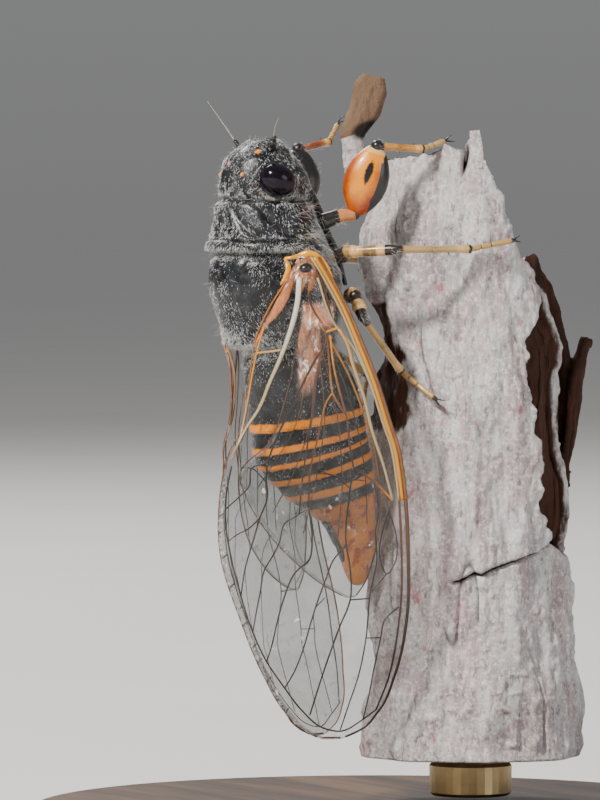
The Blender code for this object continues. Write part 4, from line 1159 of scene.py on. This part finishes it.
def make_hind_veins(side, word, material):
    parts = vein_tubes(side, HIND_VEINS, HIND_LAYER)
    edges = ((HIND_HIND_EDGE, (0.03, 0.03), (1.4, 1.6)), (HIND_COSTA, (0.06, 0.035), (0.9, 1.8)))
    for edge, radii, tones in edges:
        parts.append(edge_tube(side, HIND_STATIONS, edge, 3.2, 16.5, radii, tones, HIND_LAYER))
    make_piece("veins_hind_" + word, joined(parts), material, "wing_membrane")


def make_wings():
    veins = vein_material()
    fore_film = membrane_material("fore_membrane", FILM_TINT, 0.19, 0.62)
    hind_film = membrane_material("hind_membrane", FILM_TINT, 0.13, 0.40)
    fore = (FORE_STATIONS, FORE_HIND_EDGE, FORE_COSTA)
    hind = (HIND_STATIONS, HIND_HIND_EDGE, HIND_COSTA)
    for side, word in SIDES:
        make_membrane("film_fore_" + word, side, fore, 0.0, fore_film, "forewing_" + word, *FORE_GRID)
        make_membrane("film_hind_" + word, side, hind, HIND_LAYER, hind_film, "hindwing_" + word, *HIND_GRID)
        make_fore_veins(side, word, veins)
        make_hind_veins(side, word, veins)


# Plates at the wing's root: points across the view, X and height, then half widths at even steps and tone
ROOT_PLATES = [
    ([(0.56, 2.92, 28.30), (1.04, 3.20, 28.34), (1.60, 3.42, 28.46), (2.12, 3.68, 28.20),
        (2.58, 4.02, 27.55), (2.90, 4.22, 26.97)], (0.09, 0.14, 0.26, 0.25, 0.21, 0.14), 0.1),
    ([(0.56, 2.92, 28.30), (0.74, 3.12, 27.86), (0.62, 3.12, 27.41), (0.36, 3.0, 27.05)],
        (0.09, 0.13, 0.13, 0.05), 0.05),
    ([(1.58, 3.60, 28.22), (1.85, 3.74, 28.02), (2.08, 3.86, 27.60), (2.26, 3.96, 27.10)],
        (0.08, 0.09, 0.08, 0.04), 1.7),
    ([(1.30, 3.48, 28.00), (1.42, 3.62, 27.45), (1.28, 3.62, 26.90), (1.12, 3.55, 26.30)],
        (0.16, 0.21, 0.17, 0.10), 1.0),
    ([(1.76, 3.68, 27.75), (1.86, 3.80, 27.40), (1.78, 3.82, 26.95), (1.66, 3.75, 26.45)],
        (0.11, 0.14, 0.11, 0.05), 0.55),
    ([(0.92, 3.50, 28.14), (1.06, 3.56, 27.92), (1.12, 3.60, 27.66)], (0.06, 0.09, 0.05), 2.0),
    ([(1.20, 3.60, 28.30), (1.62, 3.78, 28.22), (1.98, 3.90, 27.98)], (0.04, 0.06, 0.05), 1.9),
    ([(1.95, 3.74, 26.20), (2.12, 3.85, 25.75), (2.35, 3.95, 25.30), (2.70, 4.05, 25.05)],
        (0.04, 0.07, 0.09, 0.07), 0.4),
    ([(0.92, 3.46, 27.55), (0.66, 3.38, 26.80), (0.32, 3.14, 26.10), (-0.45, 2.24, 24.97),
        (-0.86, 1.80, 24.12)], (0.19, 0.25, 0.21, 0.09, 0.04), 1.0),
]
# The dark knob among them: its place and radii
ROOT_SPOT = ((1.54, 3.93, 27.84), (0.30, 0.32, 0.23))


def make_root_plates(material):
    for side, word in SIDES:
        parts = []
        for line, widths, tone in ROOT_PLATES:
            path = curve_through([seen(place) for place in line], LINE_STEPS)
            share = np.linspace(0, 1, LINE_STEPS)
            width = smooth(np.linspace(0, 1, len(widths)), widths, share)
            width = width * (0.25 + 0.75 * np.sin(math.pi * np.clip(share, 0.03, 0.97)) ** 0.3)
            points, faces, attributes = swept(path, width, width * 0.42, 22, TOWARD, tone=tone)
            dents = 0.055 * layered_noise(points / [0.22, 0.22, 0.34], 3, 17)
            parts.append((points + dents[:, None] * TOWARD, faces, attributes))
        parts.append(ball(seen(ROOT_SPOT[0]), ROOT_SPOT[1], 24, 16, math.radians(20), tone=2.0))
        points, faces, attributes = joined(parts)
        if side < 0:
            tuck = smooth(LEFT_TUCK_LEVELS, LEFT_TUCK, WING_HINGE - points[:, 2])
            points = points * [-1, 1, 1] + tuck[:, None] * [0, 1, 0]
            faces = [face[::-1] for face in faces]
        make_piece("wing_root_" + word, (points, faces, attributes), material, "amber_cuticle")


# Legs

# Where each leg leaves the body, its hip and its knee, as across the view, X and height
LIMB_ROOTS = {
    "fore_right": ((2.35, 1.45, 30.0), (3.9, 2.15, 30.35), (4.95, 2.8, 33.6)),
    "fore_left": ((0.95, -1.45, 30.0), (1.2, -2.1, 30.5), (1.2, -2.8, 33.5)),
    "mid_right": ((3.2, 2.1, 28.4), (3.85, 2.9, 28.6), (5.7, 4.3, 28.7)),
    "mid_left": ((1.15, -2.1, 28.2), (1.1, -2.9, 28.3), (1.5, -4.3, 28.3)),
    "hind_right": ((3.75, 1.8, 26.5), (3.9, 2.4, 26.5), (4.25, 3.5, 25.5)),
    "hind_left": ((2.05, -1.8, 26.3), (1.7, -2.4, 26.3), (0.75, -3.5, 25.3)),
}
LEG_BLACK = (0.012, 0.010, 0.010)
THIGH_SIDES = 28
SPUR_PLACES = {"fore": (0.5, 0.8), "mid": (0.4, 0.7, 0.95), "hind": (0.35, 0.55, 0.75, 0.93, 0.97)}
TARSAL_BOUNDS = (0.0, 0.22, 0.42, 0.88)
# A claw's bend as steps ahead, aside and toward the bark
CLAW_STEPS = ((0.16, 0.08, 0.0), (0.32, 0.15, 0.07), (0.38, 0.17, 0.22))
BRANCH_MIDDLE = (0.3, 4.9)


def node_points(name):
    return vertex_vectors(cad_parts[name].data, "co") / MM


def limb_ends(name, near):
    """Both ends of a straight limb's middle line in its solid, the one nearer to the given point first."""
    points = node_points(name)
    middle = points.mean(axis=0)
    axis = np.linalg.svd(points - middle, full_matrices=False)[2][0]
    reach = (points - middle) @ axis
    ends = [middle + axis * reach.min(), middle + axis * reach.max()]
    return sorted(ends, key=lambda end: np.linalg.norm(end - near))


def spurs(line, radius, shares, size, rng, facing):
    """Small spines along a limb, pointing out and toward its end."""
    parts = []
    along = unit(np.gradient(line, axis=0))
    for share in shares:
        k = min(int(share * (len(line) - 1)), len(line) - 1)
        out = unit(np.cross(along[k], facing) * rng.choice([-1, 1]) + rng.normal(0, 0.3, 3))
        tip = line[k] + out * (radius + size) + along[k] * size * 0.6
        spine, widths = np.linspace(line[k], tip, 5), np.linspace(0.05, 0.008, 5)
        parts.append(swept(spine, widths, sides=6, dark=1.0, tone=0.0))
    return parts


def swollen_thigh(line, shares, hip):
    """The fore femur: orange, with a black band down its far edge and a black streak, a painted highlight
    down its face, painted shade that turns its edges and its lower, hip end darker red, and on the left leg
    black painted shade.
    """
    width = 0.22 + 0.84 * np.sin(math.pi * shares) ** 0.7
    points, faces, marks = swept(line, width, width * 0.58, THIGH_SIDES, TOWARD)
    off = (points - BODY_ORIGIN) @ ACROSS
    spine = (line - BODY_ORIGIN) @ ACROSS
    off = off - np.concatenate([np.repeat(spine, THIGH_SIDES), spine[:1], spine[-1:]])
    height = marks["along"]
    band = ramp(0.42, 0.52, off) * ramp(0.03, 0.1, height)
    tail = 0.5 * bump(-0.05, 0.09, off) * ramp(0.15, 0.35, height) * ramp(0.62, 0.5, height)
    streak = np.maximum(bump(-0.02 + 0.2 * (height - 0.6), 0.20, off) * bump(0.62, 0.21, height), tail)
    # The left femur is painted black on its inner side and its upper half, as shade
    left_painted_shade = np.maximum(ramp(-0.1, 0.15, points[:, 0] - hip[0]), ramp(0.50, 0.62, height)) * (hip[0] < 0)
    marks["dark"] = np.maximum.reduce([band, streak, ramp(0.95, 0.99, height), left_painted_shade])
    # A painted highlight: a pale streak down the femur's face
    pale = 0.45 * bump(-0.25, 0.1, off) * bump(0.7, 0.25, height)
    marks["tone"] = np.maximum(bump(0.95, 0.06, height), pale)
    # Painted shade: darker red toward both edges and toward the hip end
    edges = ramp(-0.45, -0.90, off) + 0.75 * ramp(0.06, 0.40, off) * ramp(0.95, 0.6, height)
    marks["warm"] = np.clip(ramp(0.4, 0.02, height) + edges, 0, 1)
    return points, faces, marks


def slim_thigh(line, shares, hind):
    """A middle or hind femur: tan with a dark knee, and on the hind leg a hip end painted black as shade and
    a thicker middle.
    """
    ring = ramp(0.20, 0.27, shares) * ramp(0.62, 0.56, shares)
    dark = np.maximum(ramp(0.78, 0.84, shares), 0.46 * ring)
    width = 0.25 + 0.03 * np.sin(math.pi * shares)
    if hind:
        ring = 0 * ring
        # The hind femur's hip end is painted black as shade
        dark = np.maximum(ramp(0.74, 0.80, shares), ramp(0.36, 0.30, shares))
        width = width + 0.07 * bump(0.56, 0.18, shares)
    tone = 0.9 * bump(0.69, 0.1, shares) + 0.8 * bump(0.08, 0.1, shares)
    return swept(line, width, width, THIGH_SIDES, TOWARD, dark=dark, tone=tone, warm=0.3 + 0.7 * ring)


def make_femur(name, root, hip, knee, kind, materials):
    """Coxa, trochanter and femur."""
    swollen = kind == "fore"
    share = np.linspace(0, 1, 16)
    coxa_line = curve_through([root, (root + hip) / 2 + [0, 0, 0.1], hip], 16)
    coxa = swept(coxa_line, 0.42 - 0.16 * share, sides=16, dark=0.9 * (1 - ramp(0.42, 0.62, share)),
                 tone=np.full(16, 0.46 if swollen else 0.3), warm=0.8)
    knob = ball(hip, 0.24 if swollen else 0.30, 20, 14, dark=0.1 if kind == "mid" else 0.95, tone=1.0)
    shares = np.linspace(0, 1, 44)
    line = blend(hip, knee, shares[:, None])
    femur = swollen_thigh(line, shares, hip) if swollen else slim_thigh(line, shares, kind == "hind")
    material, slot = leg_look("amber_thigh" if swollen else "straw", materials)
    make_piece(name + "_thigh", joined([coxa, knob, femur]), material, slot, name + "_femur")


def leg_look(look, materials):
    return materials[look], "straw_cuticle" if look == "straw" else "amber_cuticle"


def make_tibia(name, knee, ankle, kind, materials, rng):
    shares = np.linspace(0, 1, LINE_STEPS)
    line = blend(knee, ankle, shares[:, None])
    width = 0.17 + 0.05 * bump(0.0, 0.12, shares) + 0.05 * bump(1.0, 0.1, shares)
    dark = np.maximum(bump(0.0, 0.13, shares), 0.8 * bump(1.0, 0.05, shares))
    dark = np.maximum(dark, 0.43 * bump(0.5, 0.30, shares))
    warmth = 1.0 if knee[0] < 0 and kind == "fore" else 0.3
    parts = [
        swept(line, width, width, 16, TOWARD, dark=dark, tone=0.75 * bump(0.86, 0.07, shares),
              warm=warmth * ramp(1.0, 0.6, shares)),
        ball(knee, 0.31 if kind == "fore" else 0.25, 20, 14, dark=1.0, tone=0.0),
    ]
    parts += spurs(line, 0.17, SPUR_PLACES[kind], 0.16, rng, TOWARD)
    material, slot = leg_look("amber" if kind == "fore" else "straw", materials)
    make_piece(name + "_shin", joined(parts), material, slot, name + "_tibia")


def make_foot(name, ankle, toe, bark_side, materials):
    """Three tarsal joints and two claws that bend toward the bark."""
    parts = []
    shares = np.linspace(0, 1, 14)
    width = (0.115 + 0.025 * np.sin(shares * math.pi)) * np.where(shares > 0.9, 0.85, 1)
    for low, high in zip(TARSAL_BOUNDS, TARSAL_BOUNDS[1:]):
        start, end = blend(ankle, toe, low), blend(ankle, toe, high)
        last = high == TARSAL_BOUNDS[-1]
        dark = 0.9 * bump(1.0, 0.10, shares) + (0.5 * ramp(0.5, 1.0, shares) if last else 0)
        line = blend(start, end, shares[:, None])
        parts.append(swept(line, width, width, 14, TOWARD, dark=dark, tone=0.3, warm=0.5))
    tip = ankle + (toe - ankle) * 0.86
    along = unit(toe - ankle)
    spread = unit(np.cross(along, bark_side))
    for way in (-1, 1):
        path = [tip]
        for ahead, aside, inward in CLAW_STEPS:
            path.append(tip + along * ahead + spread * aside * way + bark_side * inward)
        claw = curve_through(path, 12)
        parts.append(swept(claw, np.linspace(0.055, 0.012, 12), sides=8, dark=1.0, tone=0.0))
    make_piece(name + "_foot", joined(parts), *leg_look("straw", materials), name + "_tarsus")


def make_legs():
    rng = np.random.default_rng(3)
    materials = {
        "amber_thigh": leg_material("amber_thigh", ((0.36, 0.045, 0.0), (0.82, 0.27, 0.0)), LEG_BLACK),
        "amber": leg_material("amber_shin", ((0.30, 0.06, 0.006), (0.66, 0.30, 0.03)), LEG_BLACK),
        "straw": leg_material("straw_leg", ((0.34, 0.18, 0.05), (0.56, 0.36, 0.13)), (0.02, 0.012, 0.010)),
    }
    hair = []
    for word, places in LIMB_ROOTS.items():
        name, kind = "leg_" + word, word.split("_")[0]
        root, hip, knee = (seen(place) for place in places)
        _, tibia_end = limb_ends(name + "_tibia", knee)
        ankle, toe = limb_ends(name + "_tarsus", tibia_end)
        joint = (tibia_end + ankle) / 2
        make_femur(name, root, hip, knee, kind, materials)
        make_tibia(name, knee, joint, kind, materials, rng)
        branch_middle = np.array([*BRANCH_MIDDLE, (ankle[2] + toe[2]) / 2])
        make_foot(name, joint, toe, unit(branch_middle - (ankle + toe) / 2), materials)
        shin = unit(tibia_end - knee)
        hair += [(knee, shin, 46, 0.26), ((hip + root) / 2, unit(hip - root), 70, 0.38)]
        if kind == "fore":
            hair.append(((hip + knee) / 2 + ACROSS * 0.86, unit(knee - hip), 90, 0.18))
        hair.append(((knee + tibia_end) / 2, shin, 50, 0.16))
    return hair, rng


def make_leg_hair(clumps, rng, material):
    """Short pale hair on the hips, knees and shins, each clump with its middle, way, count and radius."""
    columns = []
    for clump, (centre, along, count, radius) in enumerate(clumps):
        first = unit(np.cross(along, [0.3, 0.2, 1.0]))
        second = np.cross(along, first)
        turn = rng.uniform(0, 2 * math.pi, count)
        out = first * np.cos(turn)[:, None] + second * np.sin(turn)[:, None]
        reach = rng.uniform(-1, 1, (count, 1))
        place = np.stack([(clump + turn / (2 * math.pi)) / len(clumps), 0.5 + 0.49 * reach[:, 0]], axis=-1)
        root = centre + out * radius * 0.9 + along * reach * (0.9 if radius < 0.2 else 0.25)
        flow = along + rng.normal(0, 0.35, (count, 3))
        length = rng.uniform(0.12, 0.3, count) * (1.4 if radius > 0.2 else 0.8)
        columns.append((root, out, flow, length, place))
    roots, normals, flows, lengths, places = (np.concatenate(column) for column in zip(*columns))
    count = len(roots)
    make_hairs("hair_legs", material, "straw_cuticle", roots, normals, flows, lengths, 0.012,
               rng.uniform(0.4, 1.2, count), places, rng.uniform(0.3, 1, count))


# Branch stub

BARK_VOXEL, PERCH_FOOT = 0.085, 4.2
# The lit crust's right edge, the strip beside the wing that carries the wing's painted shadow, and the crack,
# as heights and places across
BARK_EDGE_HEIGHTS = [13.9, 14.9, 16.8, 19.2, 21.5, 23.4, 24.2, 24.9, 26.3, 27.3, 28.7, 30.0, 31.0, 31.9]
BARK_EDGE_ACROSS = [13.9, 13.3, 12.9, 12.7, 12.4, 12.0, 12.1, 12.7, 12.9, 12.8, 12.1, 11.6, 11.3, 10.6]
WING_SHADOW_HEIGHTS, WING_SHADOW_ACROSS = [20.0, 20.4, 21.9, 24.1, 26.1], [6.6, 6.8, 6.55, 6.15, 5.8]
CRACK_ACROSS, CRACK_HEIGHTS = [8.6, 10.3, 12.2, 13.4], [12.75, 13.4, 14.05, 14.65]
# The slot in the rim: its place across and height, then its half width and half length
SLOT_PLACE, SLOT_SIZE = (9.15, 33.0), (0.16, 0.75)
RIM_RAISE, FOOT_RAISE = 0.45, 0.40
# The rim's peak: its reach across, and its chip's half width, half depth and length
PEAK_ACROSS, PEAK_CHIP = (9.2, 10.0), (0.30, 0.13, 1.7)


def on_line(values):
    """Places for noise that varies with these values alone."""
    return np.stack([values, values * 0, values * 0], axis=-1)


def bark_shape(points, normals):
    """How far each point of the bark moves along its normal, and how much wood (with the strip's painted
    shadow), painted shade in the cracks, the slot, the splits and at the chip's foot, and chip it shows.
    """
    local = points - BODY_ORIGIN
    across, toward, height = local @ ACROSS, local @ TOWARD, points[:, 2]
    facing = normals @ TOWARD
    crust = layered_noise(points / [0.9, 0.9, 1.3], 4, 51)
    fibres = layered_noise(points / [0.5, 0.5, 3.2], 3, 61)
    warts = ramp(0.35, 0.8, noise(points / 0.42, 71)) * 0.10
    plates = 0.22 * layered_noise(points / [1.7, 1.7, 3.4], 2, 73)
    splits = ramp(0.10, 0.0, np.abs(noise(points / [1.3, 1.3, 6.0], 81)))
    splits = splits * ramp(0.1, 0.5, noise(points / 3.0, 82))

    # Wood past the lit crust's ragged right edge, apart from the loose bark of the hollow side
    ragged = 0.28 * layered_noise(on_line(height * 1.1), 3, 41)
    edge = smooth(BARK_EDGE_HEIGHTS, BARK_EDGE_ACROSS, height) + ragged
    span = ramp(13.9, 14.3, height) * (1 - ramp(31.7, 32.2, height))
    past = ramp(-0.06, 0.10, across - edge) * span * ramp(-0.5, 0.1, facing)
    loose = ramp(-5.9, -6.5, toward) * ramp(12.0, 12.4, across)
    move = -0.75 * past * (1 - loose)
    move = move + plates * (1 - loose) + 0.12 * crust + 0.12 * fibres + warts * (1 - past)
    move = move - 0.16 * splits

    # The sunken strip beside the wing, painted as bare dark wood to stand for the shadow of the wing and
    # body, then the crosswise crack with its ledge, and the slot in the rim
    strip = ramp(0.25, -0.45, across - smooth(WING_SHADOW_HEIGHTS, WING_SHADOW_ACROSS, height) - 0.8 * ragged)
    strip = strip * ramp(19.2, 20.4, height) * ramp(26.5, 26.0, height) * ramp(-0.6, -0.2, facing)
    move = move - 0.12 * strip
    line = smooth(CRACK_ACROSS, CRACK_HEIGHTS, across) + 0.12 * noise(on_line(across * 2), 91)
    in_line = ramp(8.2, 8.8, across) * ramp(0.0, 0.3, facing)
    # The crack is sunk and painted near-black as shade; the slot and the splits are painted the same way
    crack = bump(0, 0.075, height - line) * in_line
    ledge = ramp(-0.02, 0.10, height - line) * bump(0, 1.6, height - line) * in_line
    move = move - 0.45 * crack + 0.16 * ledge
    slot_middle = SLOT_PLACE[0] + 0.15 * (height - SLOT_PLACE[1])
    slot = bump(slot_middle, SLOT_SIZE[0], across) * bump(SLOT_PLACE[1], SLOT_SIZE[1], height)
    slot = slot * ramp(0, 0.4, facing)
    move = move - 0.7 * slot

    # Wood on the broken top, in patches of the hidden side and on the hollow side, and the strip's painted
    # shadow drawn as the same dark wood
    inner = ramp(0.55, 0.85, normals[:, 2]) * ramp(31.2, 32.4, height)
    hidden_side = ramp(0.2, -0.3, facing) * ramp(0.1, 0.6, noise(points / [1.6, 1.6, 5.0], 95))
    behind = ramp(-0.06, 0.10, across - edge) * span * ramp(-4.3, -4.9, toward)
    flake_tip = ramp(23.2, 23.9, height) * ramp(14.2, 14.6, across)
    hollow_wall = np.maximum(behind, loose * ramp(14.0, 14.6, height)) * (1 - flake_tip)
    wood = np.maximum.reduce([past, inner * 0.7, hidden_side * 0.52, strip * 0.72, hollow_wall])

    # The brown chip at the splinter's tip, with a painted shadow at its foot
    chip = ramp(34.0, 34.5, height - 0.3 * (across - 4.0)) * ramp(6.6, 6.2, across)
    shade = 1.1 * bump(34.45, 0.5, height - 0.3 * (across - 4.4)) * bump(4.5, 0.85, across)
    return move, wood, np.maximum.reduce([crack, slot, 0.6 * splits, shade]), chip


def make_peak_chip(top, material):
    """A flat-topped chip that stands on the rim's peak."""
    half, depth, reach = PEAK_CHIP
    line = top + np.linspace(-reach, 0.12, 24)[:, None] * (np.array([0, 0, 1]) - 0.12 * ACROSS)
    share = np.linspace(0, 1, 24)
    width = half * (0.75 + 0.25 * np.sin(share * 3))
    points, *rest = swept(line, width, depth * (1 - 0.5 * share), 18, TOWARD, wood=0.0, crack=0.0, chip=0.0)
    shift = 0.05 * layered_noise(points / [0.4, 0.4, 0.6], 3, 97)
    make_piece("bark_chip", (points + shift[:, None] * TOWARD, *rest), material, "bark")


def make_bark(material):
    bark = new_object("bark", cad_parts["perch"].data.copy())
    voxels = bark.modifiers.new("voxels", "REMESH")
    voxels.mode = "VOXEL"
    voxels.voxel_size = BARK_VOXEL * MM
    relax = bark.modifiers.new("relax", "SMOOTH")
    relax.factor = 0.5
    relax.iterations = 6
    mesh = bpy.data.meshes.new_from_object(bark.evaluated_get(bpy.context.evaluated_depsgraph_get()))
    bark.modifiers.clear()
    bark.data = mesh
    points, normals = (vertex_vectors(mesh, key) for key in ("co", "normal"))
    points = points / MM
    move, wood, crack, chip = bark_shape(points, normals)
    across, height = (points - BODY_ORIGIN) @ ACROSS, points[:, 2]
    above_foot = ramp(PERCH_FOOT, PERCH_FOOT + 0.6, height)
    rim = RIM_RAISE * ramp(5.0, 5.6, across) * ramp(9.0, 8.4, across)
    rim = (rim + FOOT_RAISE * ramp(6.3, 6.9, across) * ramp(8.6, 8.1, across)) * ramp(30.9, 32.3, height)
    splinter = ramp(33.2, 33.6, height) * ramp(8.0, 7.0, across)
    peak = ramp(33.3, 33.9, height) * ramp(8.9, 9.2, across)
    points = points + normals * (move * (1 - peak) * above_foot * (1 - 0.6 * splinter))[:, None]
    points[:, 2] += rim * (1 - splinter)
    points[:, 2] = np.maximum(points[:, 2], PERCH_FOOT)
    mesh.vertices.foreach_set("co", (points * MM).ravel())
    for key, values in (("wood", wood), ("crack", crack), ("chip", chip)):
        add_attribute(mesh, key, values)
    mesh.update()
    mesh.shade_smooth()
    place_piece(bark, material, "bark", "perch")
    near_peak = (across > PEAK_ACROSS[0]) & (across < PEAK_ACROSS[1])
    make_peak_chip(points[np.argmax(np.where(near_peak, points[:, 2], 0))], material)


def dress_stand():
    for node, material in (("stand_base", stand_material()), ("stand_rod", rod_material())):
        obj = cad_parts[node]
        obj.data.materials.clear()
        obj.data.materials.append(material)


# Setting

# The picture's size and scale in pixels, the body axis's column and the height at the upper edge
VIEW_WIDTH, VIEW_HEIGHT, PIXELS_PER_MM = 600, 800, 21.04
BODY_COLUMN, UPPER_EDGE = 273, 40.56
FRAME_MIDDLE = ((VIEW_WIDTH / 2 - BODY_COLUMN) / PIXELS_PER_MM, UPPER_EDGE - VIEW_HEIGHT / 2 / PIXELS_PER_MM)
CAMERA_DISTANCE = 300.0
CAMERA_RISE = math.radians(1.5)
SENSOR_WIDTH = 36
FLOOR_REACH = 12000
LIGHT_TARGET = (0, 0, 20)
# Each light's place as distances toward the camera, to its left and up, then its size, power and colour
LIGHTS = (
    ("key", (300, 260, 360), 60, 4.6, (1.0, 0.96, 0.90)),
    ("fill", (300, -380, 130), 260, 0.5, (0.92, 0.96, 1.0)),
    ("rim", (-330, 150, 330), 180, 1.4, (1.0, 1.0, 1.0)),
)


def make_camera():
    target = BODY_ORIGIN + ACROSS * FRAME_MIDDLE[0] + np.array([0, 0, FRAME_MIDDLE[1]])
    back = TOWARD * math.cos(CAMERA_RISE) + np.array([0, 0, math.sin(CAMERA_RISE)])
    camera = new_object("camera", bpy.data.cameras.new("camera"))
    camera.location = Vector(target + back * CAMERA_DISTANCE) * MM
    camera.rotation_euler = Vector(-back).to_track_quat("-Z", "Y").to_euler()
    camera.data.sensor_width = SENSOR_WIDTH
    camera.data.lens = SENSOR_WIDTH * CAMERA_DISTANCE / (VIEW_HEIGHT / PIXELS_PER_MM)
    camera.data.clip_start, camera.data.clip_end = 0.01, 10
    bpy.context.scene.camera = camera


def area_light(name, place, size, power, colour):
    light = bpy.data.lights.new(name, "AREA")
    light.shape = "DISK"
    light.size = size * MM
    light.energy = power
    light.color = colour
    obj = new_object(name, light)
    obj.location = Vector(place) * MM
    obj.rotation_euler = (Vector(LIGHT_TARGET) - Vector(place)).to_track_quat("-Z", "Y").to_euler()


def make_world():
    """An even grey room, a little brighter above the horizon."""
    n = Nodes("soft_room", "worlds", "Background")
    height = n.node("SeparateXYZ", "Z", {0: n.node("TexCoord", "Generated")})
    rise = n.node("MapRange", "Result", {"From Max": 0.12, "Value": height})
    n.feed(n.shader.inputs["Color"], n.mix(rise, (0.605, 0.605, 0.605), (0.80, 0.81, 0.83)))
    n.shader.inputs["Strength"].default_value = 0.33
    bpy.context.scene.world = n.block


def make_setting():
    corners = [(x * FLOOR_REACH, y * FLOOR_REACH, 0) for x, y in ((-1, -1), (1, -1), (1, 1), (-1, 1))]
    floor = mesh_object("floor", corners, [(0, 1, 2, 3)])
    n = Nodes("pale_floor")
    floor.data.materials.append(n.finish(n.mix(n.noise(30, 3), (0.70, 0.69, 0.67), (0.76, 0.75, 0.73)), 0.8))
    make_world()
    for name, (toward, left, up), *looks in LIGHTS:
        area_light(name, TOWARD * toward - ACROSS * left + np.array([0, 0, up]), *looks)


def main():
    silver = hair_material("silver_hair", (0.12, 0.12, 0.125), (0.92, 0.93, 0.92))
    pale = hair_material("pale_hair", (0.22, 0.20, 0.16), (0.72, 0.69, 0.62))
    sclerites = sclerite_material()
    dark_leg = leg_material("dark_fitting", ((0.35, 0.20, 0.08), (0.5, 0.32, 0.15)), LEG_BLACK)
    make_body(cuticle_material())
    make_hair(silver)
    make_long_hair(pale)
    make_eyes(eye_material())
    make_ocelli(sclerites)
    make_antennae(leg_material("feeler", ((0.16, 0.15, 0.13), (0.30, 0.28, 0.25)), (0.015, 0.013, 0.013)))
    make_rostrum(dark_leg)
    make_wings()
    make_root_plates(sclerites)
    make_leg_hair(*make_legs(), pale)
    make_bark(bark_material())
    dress_stand()
    make_setting()
    make_camera()


main()
